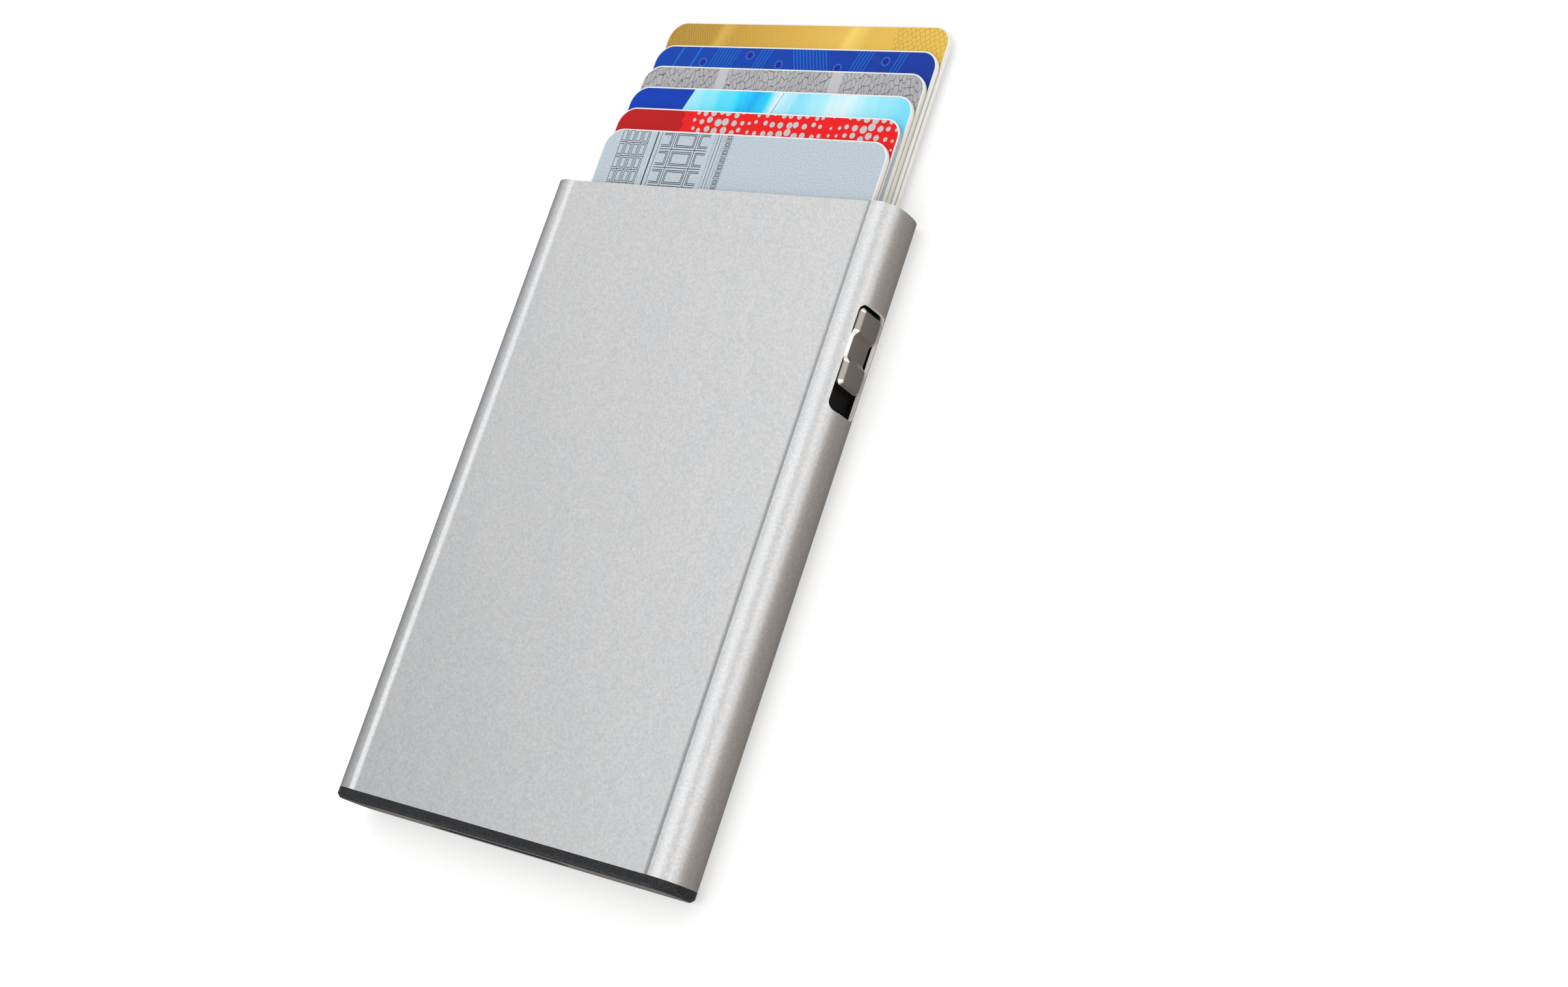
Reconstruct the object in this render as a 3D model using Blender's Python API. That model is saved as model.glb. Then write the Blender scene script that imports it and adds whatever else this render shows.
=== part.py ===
"""A pop up card holder: an aluminium sleeve whose spring lever fans six cards when a side button is slid.

Its frame: X across the case towards the button, Y up the case towards the mouth, and Z from the back
to the front panel. Every piece is placed from the joint plane, where the aluminium sleeve meets its
base cap, and an empty carries them all, so that the middle of the back face is the world's origin.
The cards stand fanned and the button is at the top of its slot.
"""

import math

import bmesh
import bpy
from mathutils import Matrix, Vector

MM = 0.001
DEG = math.pi / 180
WELD = 0.001 * MM  # points nearer than this are one
NEAR = 0.01 * MM  # how far from a plane a picked point may lie
FLAT = 0.05 * DEG  # faces that turn less than this are one
SMOOTH_ANGLE = 30 * DEG  # edges that turn more than this look sharp
RIM_ANGLE = 60 * DEG  # edges that turn more than this are a rim to chamfer

# Clearances
GAP = 0.3 * MM  # between pieces that touch or slide on each other
BORE_GAP = 0.25 * MM  # round a pin or rod in its hole
OVERRUN = 2.0 * MM  # how far a cutter reaches past what it cuts

# The aluminium sleeve, whose outer size follows from what it holds
SIDE_RADIUS = 3.0 * MM
FACE_WALL = 0.8 * MM
SIDE_WALL = 0.65 * MM
RIM_FLAT = 0.8 * MM  # the raised edge between the round side and the ramp
RAMP_WIDTH = 0.75 * MM
PANEL_DROP = 0.3 * MM  # the front panel lies this much below the raised edges

# Facets of round shapes
ARC_STEPS = 8
BORE_STEPS = 24
RELIEF_STEPS = 32
SCREW_STEPS = 16
ROD_STEPS = 12

# The base cap
CAP_SEAM = 0.1 * MM  # the fine gap where the sleeve stands on its flange
CAP_FLANGE = 1.57 * MM
CAP_BEVEL = 0.5 * MM
CAP_PLUG = 3.0 * MM
CAP_PLUG_WALL = 1.2 * MM
CAP_SINK = 0.6 * MM  # how far the plug reaches into the flange
RECESS_LENGTH = 26.0 * MM
RECESS_WIDTH = 3.6 * MM
RECESS_CORNER = 1.75 * MM
RECESS_DEPTH = 0.8 * MM
RECESS_SHIFT = -1.5 * MM

# The cards, to the ID-1 size
CARD_COUNT = 6
CARD_WIDTH = 53.98 * MM
CARD_LENGTH = 85.6 * MM
CARD_THICKNESS = 0.8 * MM
CARD_CORNER = 3.18 * MM
CARD_SINK = 0.5 * MM  # top edges below the mouth when pushed in
STACK_ROOM = 0.4 * MM  # in front of the first card and behind the last
FIRST_LIFT = 10.4 * MM
LIFT_STEP = 4.28 * MM
LAST_EXTRA = 0.43 * MM  # the rear card rises this much more than an even step

# The slot and the button
SLOT_LENGTH = 16.1 * MM
SLOT_HEIGHT = 6.0 * MM
SLOT_CORNER = 1.2 * MM
SLOT_FROM_MOUTH = 15.1 * MM
SLOT_RISE = 0.3 * MM  # how far the slot's middle lies in front of the sleeve's
BUTTON_TRAVEL = 3.6 * MM
BUTTON_TOP_GAP = 0.4 * MM
BUTTON_LENGTH = 11.9 * MM
BUTTON_CORNER = 0.9 * MM
BUTTON_FACE_DROP = 0.25 * MM  # its face lies this far inside the sleeve's side
BUTTON_THICKNESS = 1.6 * MM
BUTTON_BEVEL = 0.56 * MM
HOLLOW_DEPTH = 0.7 * MM
HOLLOW_FLOOR = 2.7 * MM
HOLLOW_RAMP = 1.1 * MM
HOLLOW_STEPS = 4
CARRIER_THICKNESS = 1.6 * MM
CARRIER_COVER = 1.0 * MM  # how far the carrier still reaches past the slot at each end of its travel
SCREW_RADIUS = 0.5 * MM
SCREW_HEAD_RADIUS = 0.9 * MM
SCREW_HEAD_HEIGHT = 0.5 * MM
SCREW_BITE = 0.7 * MM

# The chassis
LEFT_RAIL = 5.47 * MM
RAIL_WEB = 0.6 * MM
FLOOR_HEIGHT = 1.2 * MM
TOP_BLOCK = 2.7 * MM
MOUTH_SINK = 0.6 * MM  # the chassis ends this far below the mouth
LEFT_WEB = 1.6 * MM
RIGHT_WEB = 1.9 * MM
RIGHT_WEB_HEIGHT = 5.3 * MM
LUG_THICKNESS = 0.8 * MM
LUG_RADIUS = 3.3 * MM
SPRING_STOP_HEIGHT = 1.5 * MM

# The ejector arm, drawn lying down, with its fingers along -X
ARM_SWING = 45.0 * DEG
HUB_RADIUS = 4.2 * MM
HUB_RELIEF = 1.4 * MM  # how far past the hub the arm is thinned for the lugs
HUB_HEIGHT = 1.5 * MM
ARM_TIP = 1.137 * MM
NOTCH_DEPTH = 0.7 * MM  # the hub's notch for the latch
NOTCH_WIDTH = 1.2 * MM
PIVOT_FROM_RAIL = 3.2 * MM
PIVOT_RADIUS = 1.25 * MM
FINGER_STEPS = 8

# The arm's torsion spring
COIL_TURNS = 2
COIL_WIRE = 0.5 * MM
COIL_RADIUS = 2.4 * MM
COIL_PITCH = 0.93 * MM
COIL_POINTS = 10
COIL_LEG = 5.8 * MM
LEG_POINTS = 4

# The button's return spring
RETURN_TURNS = 8
RETURN_WIRE = 0.35 * MM
RETURN_RADIUS = 1.0 * MM
RETURN_LENGTH = 10.9 * MM
RETURN_POINTS = 8

# The rod and the latch
ROD_RADIUS = 0.35 * MM
ROD_SEAT = 3.0 * MM
ROD_RISE = 1.6 * MM  # the rod's height over the chassis's back
ROD_JOG = 1.35 * MM
ROD_JOG_LENGTH = 2.5 * MM
ROD_TAIL = 2.2 * MM
PAWL_PIN_RADIUS = 0.45 * MM
PAWL_BODY = 1.25 * MM
PAWL_NOSE = 5.9 * MM
PAWL_TAIL = 5.0 * MM
PAWL_HEIGHT = 3.6 * MM
PAWL_BAR = 0.9 * MM
PAWL_ABOVE_PIVOT = 7.8 * MM
LATCH_WIRE = 0.3 * MM
LATCH_BOW = 0.8 * MM

# The brake in the left rail
BRAKE_LENGTH = 40.0 * MM
BRAKE_FROM_MOUTH = 24.0 * MM
BRAKE_POCKET = 2.5 * MM
BRAKE_HEIGHT = 4.6 * MM
LEAF_THICKNESS = 0.25 * MM
LEAF_STEPS = 12
PAD_LENGTH = 14.0 * MM
PAD_THICKNESS = 0.65 * MM

# The sleeve's size, worked out from the cards, the rails and the arm
CARD_PITCH = CARD_THICKNESS + GAP
STACK_HEIGHT = CARD_COUNT * CARD_PITCH - GAP
CASE_THICKNESS = 2 * FACE_WALL + STACK_HEIGHT + 2 * STACK_ROOM + PANEL_DROP
LEFT_SPAN = LEFT_RAIL + GAP + SIDE_WALL
RIGHT_SPAN = RAIL_WEB + BORE_GAP + CARRIER_THICKNESS + GAP + BUTTON_THICKNESS + BUTTON_FACE_DROP
CASE_WIDTH = LEFT_SPAN + GAP + CARD_WIDTH + GAP + RIGHT_SPAN
CARD_SHIFT = (LEFT_SPAN - RIGHT_SPAN) / 2  # the stack stands nearer the button's side
LAST_LIFT = FIRST_LIFT + (CARD_COUNT - 1) * LIFT_STEP + LAST_EXTRA
LAST_BASE = LAST_LIFT / ARM_SWING  # the base circle of the longest finger's involute
FINGER_DROP = LAST_BASE * math.sin(ARM_SWING) - (HUB_RADIUS + LAST_LIFT) * math.cos(ARM_SWING)
ARM_UNDERSIDE = FINGER_DROP + ARM_TIP  # how far the arm reaches below its pivot, lying down
FLOOR_LOW = CAP_PLUG + GAP
FLOOR_TOP = FLOOR_LOW + FLOOR_HEIGHT
PIVOT_Y = FLOOR_TOP + GAP + max(HUB_RADIUS, ARM_UNDERSIDE)
CARD_FLOOR = PIVOT_Y + HUB_RADIUS + GAP
CASE_LENGTH = CARD_FLOOR + CARD_LENGTH + CARD_SINK

# Places worked out from the sizes above, with Y from the joint plane
SIDE_X = CASE_WIDTH / 2
PANEL_Z = CASE_THICKNESS - PANEL_DROP
PANEL_X = SIDE_X - SIDE_RADIUS - RIM_FLAT - RAMP_WIDTH
BACK_WALL_Z = FACE_WALL
FRONT_WALL_Z = PANEL_Z - FACE_WALL
INSIDE_Z = (BACK_WALL_Z + FRONT_WALL_Z) / 2
MID_Z = CASE_THICKNESS / 2
INNER_SIDE_X = SIDE_X - SIDE_WALL
INNER_RADIUS = SIDE_RADIUS - SIDE_WALL
CHASSIS_X = INNER_SIDE_X - GAP
CHASSIS_BACK = BACK_WALL_Z + GAP
CHASSIS_FRONT = FRONT_WALL_Z - GAP
CHASSIS_TOP = CASE_LENGTH - MOUTH_SINK
POCKET_RIGHT = CARD_SHIFT + CARD_WIDTH / 2 + GAP
POCKET_LEFT = CARD_SHIFT - CARD_WIDTH / 2 - GAP
CHANNEL_X = POCKET_RIGHT + RAIL_WEB
PIVOT = Vector((POCKET_RIGHT - PIVOT_FROM_RAIL, PIVOT_Y, 0))
HUB_BACK = CHASSIS_BACK + LUG_THICKNESS + GAP
RELIEF_RADIUS = HUB_RADIUS + HUB_RELIEF
COIL_BACK = HUB_BACK + HUB_HEIGHT + GAP + COIL_WIRE / 2
COIL_EXTRA = math.pi / 2 - ARM_SWING  # the part turn that points one leg at the arm and one at the web
COIL_FRONT = COIL_BACK + COIL_PITCH * (COIL_TURNS + COIL_EXTRA / (2 * math.pi))
SLOT_TOP = CASE_LENGTH - SLOT_FROM_MOUTH
SLOT_Y = SLOT_TOP - SLOT_LENGTH / 2
SLOT_Z = MID_Z + SLOT_RISE
BUTTON_Y = SLOT_TOP - BUTTON_TOP_GAP - BUTTON_LENGTH / 2
BUTTON_FACE_X = SIDE_X - BUTTON_FACE_DROP
BUTTON_BASE_X = BUTTON_FACE_X - BUTTON_THICKNESS
CARRIER_TOP = SLOT_TOP + BUTTON_TRAVEL + CARRIER_COVER
CARRIER_LOW = SLOT_TOP - SLOT_LENGTH - CARRIER_COVER
CARRIER_OUT_X = BUTTON_BASE_X - GAP
CARRIER_IN_X = CARRIER_OUT_X - CARRIER_THICKNESS
SPRING_STOP_Y = CARRIER_LOW - 2 * GAP - RETURN_LENGTH
ROD_X = (CARRIER_IN_X + CARRIER_OUT_X) / 2
ROD_Z = CHASSIS_BACK + ROD_RISE
PAWL_PIN = Vector((CHASSIS_X - PAWL_BODY - BORE_GAP, PIVOT.y + PAWL_ABOVE_PIVOT, 0))
PAWL_ZONE_TOP = PAWL_PIN.y + PAWL_BODY + 2 * GAP
BRAKE_Y = CASE_LENGTH - BRAKE_FROM_MOUTH - BRAKE_LENGTH / 2
FRAME_Y = -(CASE_LENGTH - CAP_FLANGE) / 2

# Colours, roughness and metallic value from the photograph
FINISHES = {
    "aluminium": ((0.62, 0.62, 0.63, 1), 0.38, 0.9),
    "button_metal": ((0.42, 0.40, 0.38, 1), 0.32, 0.9),
    "black_plastic": ((0.028, 0.029, 0.031, 1), 0.62, 0.0),
    "steel": ((0.55, 0.55, 0.56, 1), 0.3, 1.0),
    "lever_plastic": ((0.09, 0.09, 0.10, 1), 0.5, 0.0),
    "felt": ((0.05, 0.05, 0.05, 1), 0.95, 0.0),
}
CARD_COLOURS = (
    (0.50, 0.57, 0.62, 1),
    (0.62, 0.02, 0.02, 1),
    (0.10, 0.42, 0.72, 1),
    (0.33, 0.34, 0.35, 1),
    (0.02, 0.10, 0.45, 1),
    (0.62, 0.40, 0.10, 1),
)


def clear_scene():
    for obj in list(bpy.data.objects):
        bpy.data.objects.remove(obj, do_unlink=True)


def new_collection(name, hidden=False):
    collection = bpy.data.collections.new(name)
    collection.hide_render = hidden
    bpy.context.scene.collection.children.link(collection)
    return collection


def finish(name, colour, roughness, metallic):
    """A Principled material."""
    material = bpy.data.materials.new(name)
    material.use_nodes = True
    shader = material.node_tree.nodes["Principled BSDF"]
    shader.inputs["Base Color"].default_value = colour
    shader.inputs["Roughness"].default_value = roughness
    shader.inputs["Metallic"].default_value = metallic
    return material


def arc(centre_x, centre_y, radius, start, end, steps):
    """Points on an arc, both ends included."""
    angles = [start + (end - start) * i / steps for i in range(steps + 1)]
    return [(centre_x + radius * math.cos(a), centre_y + radius * math.sin(a)) for a in angles]


def rounded_rectangle(width, height, radius, steps=ARC_STEPS):
    """A closed outline about zero."""
    points = []
    for turn, (sx, sy) in enumerate(((1, 1), (-1, 1), (-1, -1), (1, -1))):
        x = sx * (width / 2 - radius)
        y = sy * (height / 2 - radius)
        points += arc(x, y, radius, turn * math.pi / 2, (turn + 1) * math.pi / 2, steps)
    return points


def prism(name, rings, low, high, turn=None, at=(0, 0, 0)):
    """A mesh object: a filled 2D curve of one or more rings, extruded from low to high along its own Z."""
    curve = bpy.data.curves.new(name, "CURVE")
    curve.dimensions = "2D"
    curve.fill_mode = "BOTH"
    curve.extrude = (high - low) / 2
    for ring in rings:
        spline = curve.splines.new("POLY")
        spline.points.add(len(ring) - 1)
        for point, (x, y) in zip(spline.points, ring):
            point.co = (x, y, 0, 1)
        spline.use_cyclic_u = True
    shift = Matrix.Translation((0, 0, (low + high) / 2))
    obj = mesh_of_curve(name, curve)
    obj.data.transform(shift)
    turn_mesh(obj.data, turn)
    obj.location = at
    return obj


def turn_mesh(mesh, turn):
    """Turns a mesh, and keeps its faces pointing out where the turn mirrors it."""
    if turn is None:
        return
    mesh.transform(turn)
    if turn.determinant() < 0:
        mesh.flip_normals()


def mesh_of_curve(name, curve):
    """The curve's evaluated shape as a mesh object, with its caps welded on."""
    guide = bpy.data.objects.new(name + "_guide", curve)
    bpy.context.scene.collection.objects.link(guide)
    seen = guide.evaluated_get(bpy.context.evaluated_depsgraph_get())
    mesh = bpy.data.meshes.new_from_object(seen)
    bpy.data.objects.remove(guide, do_unlink=True)
    shape = bmesh.new()
    shape.from_mesh(mesh)
    bmesh.ops.remove_doubles(shape, verts=shape.verts, dist=WELD)
    bmesh.ops.dissolve_limit(shape, angle_limit=FLAT, verts=shape.verts, edges=shape.edges)
    bmesh.ops.recalc_face_normals(shape, faces=shape.faces)
    shape.to_mesh(mesh)
    shape.free()
    return bpy.data.objects.new(name, mesh)


def wire(name, points, radius):
    """A tube along hand-made or computed points, with filled caps."""
    curve = bpy.data.curves.new(name, "CURVE")
    curve.dimensions = "3D"
    curve.bevel_depth = radius
    curve.bevel_resolution = 1
    curve.use_fill_caps = True
    spline = curve.splines.new("POLY")
    spline.points.add(len(points) - 1)
    for point, place in zip(spline.points, points):
        point.co = (*place, 1)
    return mesh_of_curve(name, curve)


def box(name, low, high):
    """A box from a primitive cube, from its low to its high corner."""
    shape = bmesh.new()
    bmesh.ops.create_cube(shape, size=1)
    size = [b - a for a, b in zip(low, high)]
    middle = [(a + b) / 2 for a, b in zip(low, high)]
    bmesh.ops.scale(shape, vec=size, verts=shape.verts)
    bmesh.ops.translate(shape, vec=middle, verts=shape.verts)
    mesh = bpy.data.meshes.new(name)
    shape.to_mesh(mesh)
    shape.free()
    return bpy.data.objects.new(name, mesh)


def cylinder(name, radius, low, high, at=(0, 0), steps=BORE_STEPS, turn=None):
    """A round bar along Z, from a primitive, or along another axis by a turn."""
    shape = bmesh.new()
    bmesh.ops.create_cone(
        shape, cap_ends=True, segments=steps, radius1=radius, radius2=radius, depth=high - low
    )
    bmesh.ops.translate(shape, vec=(at[0], at[1], (low + high) / 2), verts=shape.verts)
    mesh = bpy.data.meshes.new(name)
    shape.to_mesh(mesh)
    shape.free()
    turn_mesh(mesh, turn)
    return bpy.data.objects.new(name, mesh)


def add_part(obj, material):
    """Puts a piece in the holder's collection, under its frame, with its finish."""
    PARTS.objects.link(obj)
    obj.parent = HOLDER
    obj.data.materials.clear()
    obj.data.materials.append(material)
    obj.data.shade_smooth()
    obj.data.set_sharp_from_angle(angle=SMOOTH_ANGLE)
    return obj


def boolean(obj, tool, operation):
    """Cuts or joins a tool, which stays as a hidden wire shape."""
    CUTTERS.objects.link(tool)
    tool.parent = HOLDER
    tool.hide_render = True
    tool.display_type = "WIRE"
    modifier = obj.modifiers.new(tool.name, "BOOLEAN")
    modifier.operation = operation
    modifier.solver = "EXACT"
    modifier.object = tool
    return modifier


def cut(obj, tool):
    return boolean(obj, tool, "DIFFERENCE")


def join(obj, tool):
    return boolean(obj, tool, "UNION")


def cut_box(obj, name, low, high):
    """Cuts a box given in the holder's frame."""
    return cut(obj, box(name, low, high))


# A prism drawn in X and Z and run along Y, from low to high
ALONG_Y = Matrix(((1, 0, 0, 0), (0, 0, 1, 0), (0, 1, 0, 0), (0, 0, 0, 1)))
# A prism drawn in Y and Z and run along X
ALONG_X = Matrix(((0, 0, 1, 0), (1, 0, 0, 0), (0, 1, 0, 0), (0, 0, 0, 1)))


def outer_section():
    """The sleeve's outline in X and Z: a raised edge beside the sunk panel, round sides, a flat back."""
    low_z = SIDE_RADIUS
    high_z = CASE_THICKNESS - SIDE_RADIUS
    x = SIDE_X - SIDE_RADIUS
    right = arc(x, low_z, SIDE_RADIUS, -math.pi / 2, 0, ARC_STEPS)
    right += arc(x, high_z, SIDE_RADIUS, 0, math.pi / 2, ARC_STEPS)
    right += [(PANEL_X + RAMP_WIDTH, CASE_THICKNESS), (PANEL_X, PANEL_Z)]
    left = [(-x, z) for x, z in reversed(right)]
    return right + left


def inner_section(inset=0.0):
    """The outline of the space inside, or of a piece that fits it with a clearance all round."""
    width = 2 * (INNER_SIDE_X - inset)
    height = FRONT_WALL_Z - BACK_WALL_Z - 2 * inset
    ring = rounded_rectangle(width, height, INNER_RADIUS - inset)
    return [(x, z + INSIDE_Z) for x, z in ring]


def make_case_shell():
    shell = prism("case_shell", [outer_section(), inner_section()], 0, CASE_LENGTH, ALONG_Y)
    ring = rounded_rectangle(SLOT_LENGTH, SLOT_HEIGHT, SLOT_CORNER)
    ring = [(y + SLOT_Y, z + SLOT_Z) for y, z in ring]
    slot_from = SIDE_X - SIDE_RADIUS
    cut(shell, prism("slot_cutter", [ring], slot_from, SIDE_X + OVERRUN, ALONG_X))
    return add_part(shell, MATERIALS["aluminium"])


def make_base_cap():
    """The flange has the sleeve's outline, and a hollow plug reaches up inside."""
    cap = prism("base_cap", [outer_section()], -CAP_FLANGE, -CAP_SEAM, ALONG_Y)
    bevel_low_edges(cap, -CAP_FLANGE, CAP_BEVEL)
    join(cap, prism("cap_plug", [inner_section(GAP)], -CAP_SINK, CAP_PLUG, ALONG_Y))
    hollow = inner_section(GAP + CAP_PLUG_WALL)
    cut(cap, prism("cap_plug_hollow", [hollow], -CAP_SINK / 2, CAP_PLUG + OVERRUN, ALONG_Y))
    recess = rounded_rectangle(RECESS_LENGTH, RECESS_WIDTH, RECESS_CORNER)
    recess = [(x + RECESS_SHIFT, z + MID_Z) for x, z in recess]
    recess_low = -CAP_FLANGE - OVERRUN
    cut(cap, prism("cap_recess", [recess], recess_low, RECESS_DEPTH - CAP_FLANGE, ALONG_Y))
    return add_part(cap, MATERIALS["black_plastic"])


def bevel_low_edges(obj, y, width):
    """Chamfers the rim of the face at this Y."""
    shape = bmesh.new()
    shape.from_mesh(obj.data)
    rim = [
        edge
        for edge in shape.edges
        if all(abs(v.co.y - y) < NEAR for v in edge.verts)
        and edge.calc_face_angle(0) > RIM_ANGLE
    ]
    bmesh.ops.bevel(shape, geom=rim, offset=width, segments=1, affect="EDGES")
    shape.to_mesh(obj.data)
    shape.free()


def make_chassis():
    """One moulding: floor, side rails, pivot lugs and the stop of the button's spring."""
    section = inner_section(GAP)
    chassis = prism("chassis", [section], FLOOR_LOW, CHASSIS_TOP, ALONG_Y)
    back = BACK_WALL_Z - OVERRUN
    front = FRONT_WALL_Z + OVERRUN
    above = CHASSIS_TOP + OVERRUN
    out = CHASSIS_X + OVERRUN
    left = LEFT_WEB - CHASSIS_X
    web_x = CHASSIS_X - RIGHT_WEB
    web_top = FLOOR_TOP + RIGHT_WEB_HEIGHT
    inner_back = CHASSIS_BACK + LUG_THICKNESS
    inner_front = CHASSIS_FRONT - LUG_THICKNESS
    swept_y = PIVOT.y + arm_reach_above(POCKET_LEFT - GAP)
    cut_box(chassis, "card_pocket", (POCKET_LEFT, FLOOR_TOP, back), (POCKET_RIGHT, above, front))
    cut_box(chassis, "arm_sweep", (left, FLOOR_TOP, back), (0, swept_y, front))
    cut_box(chassis, "hub_room", (0, FLOOR_TOP, back), (web_x, web_top, front))
    low = (POCKET_RIGHT - GAP, web_top - GAP, inner_back)
    cut_box(chassis, "latch_room", low, (out, PAWL_ZONE_TOP, inner_front))
    hub_side = (POCKET_RIGHT - GAP, web_top - GAP, back)
    cut_box(chassis, "hub_side_room", hub_side, (CHANNEL_X, CARD_FLOOR, front))
    low = (CHANNEL_X, PAWL_ZONE_TOP - GAP, back)
    cut_box(chassis, "lower_channel", low, (out, SPRING_STOP_Y - SPRING_STOP_HEIGHT, front))
    low = (CHANNEL_X, SPRING_STOP_Y, back)
    cut_box(chassis, "upper_channel", low, (out, CHASSIS_TOP - TOP_BLOCK, front))
    rod_half = ROD_RADIUS + GAP
    low = (CHANNEL_X, SPRING_STOP_Y - SPRING_STOP_HEIGHT - OVERRUN, back)
    cut_box(chassis, "rod_slot", low, (ROD_X + rod_half, SPRING_STOP_Y + OVERRUN, ROD_Z + rod_half))
    half_length = BRAKE_LENGTH / 2 + GAP
    half_height = BRAKE_HEIGHT / 2 + GAP
    low = (POCKET_LEFT - BRAKE_POCKET, BRAKE_Y - half_length, INSIDE_Z - half_height)
    high = (POCKET_LEFT + OVERRUN, BRAKE_Y + half_length, INSIDE_Z + half_height)
    cut_box(chassis, "brake_pocket", low, high)
    add_lug(chassis, "rear_lug", CHASSIS_BACK, inner_back)
    add_lug(chassis, "front_lug", inner_front, CHASSIS_FRONT)
    leg_half = COIL_WIRE / 2 + GAP
    low = (web_x - GAP, PIVOT.y - COIL_RADIUS - leg_half, COIL_FRONT - leg_half)
    high = (PIVOT.x + COIL_LEG + GAP, PIVOT.y - COIL_RADIUS + leg_half, COIL_FRONT + leg_half)
    cut_box(chassis, "web_leg_slot", low, high)
    pivot_hole = PIVOT_RADIUS + BORE_GAP
    cut(chassis, cylinder("pivot_hole", pivot_hole, back, front, (PIVOT.x, PIVOT.y)))
    pin_hole = PAWL_PIN_RADIUS + BORE_GAP
    cut(chassis, cylinder("latch_pin_hole", pin_hole, back, front, (PAWL_PIN.x, PAWL_PIN.y)))
    return add_part(chassis, MATERIALS["black_plastic"])


def arm_reach_above(x):
    """How far above the pivot the arm's tip has risen when it passes this X."""
    tip = finger_end(CARD_COUNT)
    radius = math.hypot(tip[0], tip[1]) + GAP
    return math.sqrt(max(0.0, radius**2 - (PIVOT.x - x) ** 2))


def add_lug(chassis, name, low, high):
    """A plate round the pivot that runs down to the floor and out to the right web."""
    foot = PIVOT.y - FLOOR_TOP + FLOOR_HEIGHT / 2
    side = CHASSIS_X - RIGHT_WEB + GAP - PIVOT.x
    ring = arc(0, 0, LUG_RADIUS, 0, math.pi, ARC_STEPS)
    ring += [(-LUG_RADIUS, -foot), (side, -foot), (side, 0)]
    join(chassis, prism(name, [ring], low, high, at=(PIVOT.x, PIVOT.y, 0)))


def card_lift(number):
    """How far card 1, 2, 3... rises."""
    if number == CARD_COUNT:
        return LAST_LIFT
    return FIRST_LIFT + (number - 1) * LIFT_STEP


def finger_point(number, roll):
    """A point of the finger under this card, with the arm lying down.

    A flat edge that has to rise evenly with the arm's turn is met by an involute, whose base circle
    has the rise per radian for its radius.
    """
    base = card_lift(number) / ARM_SWING
    height = HUB_RADIUS + base * roll
    x = -base * math.cos(roll) - height * math.sin(roll)
    y = -base * math.sin(roll) + height * math.cos(roll)
    return x, y


def finger_end(number):
    return finger_point(number, ARM_SWING)


def finger_outline(number):
    """The arm's outline at the depth of one card: the hub, a straight top, the involute and the underside."""
    ring = arc(0, 0, HUB_RADIUS, -math.pi / 2, math.pi / 2, 2 * ARC_STEPS)
    rolls = [ARM_SWING * i / FINGER_STEPS for i in range(FINGER_STEPS + 1)]
    ring += [finger_point(number, roll) for roll in rolls]
    ring.append((finger_end(number)[0], -ARM_UNDERSIDE))
    return ring


def card_z(number):
    """The middle of a card's thickness, with card 1 in front."""
    return INSIDE_Z + ((CARD_COUNT + 1) / 2 - number) * CARD_PITCH


def make_ejector_arm():
    """Six fingers of growing length, one behind another, on one hub; the arm stands raised."""
    rear = card_z(CARD_COUNT) - CARD_THICKNESS / 2
    top = rear + CARD_THICKNESS
    arm = prism("ejector_arm", [finger_outline(CARD_COUNT)], rear, top)
    pose = Matrix.Translation(PIVOT) @ Matrix.Rotation(-ARM_SWING, 4, "Z")
    arm.matrix_local = pose
    for number in range(CARD_COUNT - 1, 0, -1):
        low = card_z(number + 1)
        high = card_z(number) + CARD_THICKNESS / 2
        step = prism(f"finger_{number}", [finger_outline(number)], low, high)
        join(arm, step)
        step.matrix_local = pose
    hub_front = HUB_BACK + HUB_HEIGHT
    for name, low, high in (
        ("hub_rear_relief", BACK_WALL_Z - OVERRUN, HUB_BACK),
        ("hub_front_relief", hub_front, FRONT_WALL_Z + OVERRUN),
        ("hub_bore", BACK_WALL_Z - OVERRUN, FRONT_WALL_Z + OVERRUN),
    ):
        radius = PIVOT_RADIUS + BORE_GAP if name == "hub_bore" else RELIEF_RADIUS
        cut(arm, cylinder(name, radius, low, high, (PIVOT.x, PIVOT.y), RELIEF_STEPS))
    for tool in (arm_leg_slot(), latch_notch()):
        cut(arm, tool)
        tool.matrix_local = pose
    return add_part(arm, MATERIALS["lever_plastic"])


def arm_leg_slot():
    """Where the spring's rear leg enters the arm, with the arm lying down."""
    half = COIL_WIRE / 2 + GAP
    mouth = math.sqrt(RELIEF_RADIUS**2 - COIL_RADIUS**2) - GAP - half
    low = (-COIL_LEG - GAP, -COIL_RADIUS - half, COIL_BACK - half)
    return box("arm_leg_slot", low, (-mouth, -COIL_RADIUS + half, COIL_BACK + half))


def latch_notch():
    """The hub's notch, which lies at the latch's nose when the arm is down."""
    bottom = HUB_RADIUS - NOTCH_DEPTH
    low = (bottom, -NOTCH_WIDTH / 2, BACK_WALL_Z)
    notch = box("latch_notch", low, (HUB_RADIUS + OVERRUN, NOTCH_WIDTH / 2, FRONT_WALL_Z))
    angle = math.atan2(PAWL_ABOVE_PIVOT - PAWL_NOSE, nose_offset())
    notch.data.transform(Matrix.Rotation(angle, 4, "Z"))
    return notch


def make_pivot_pin():
    pin = cylinder("pivot_pin", PIVOT_RADIUS, CHASSIS_BACK, CHASSIS_FRONT)
    pin.location = PIVOT
    return add_part(pin, MATERIALS["steel"])


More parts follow.
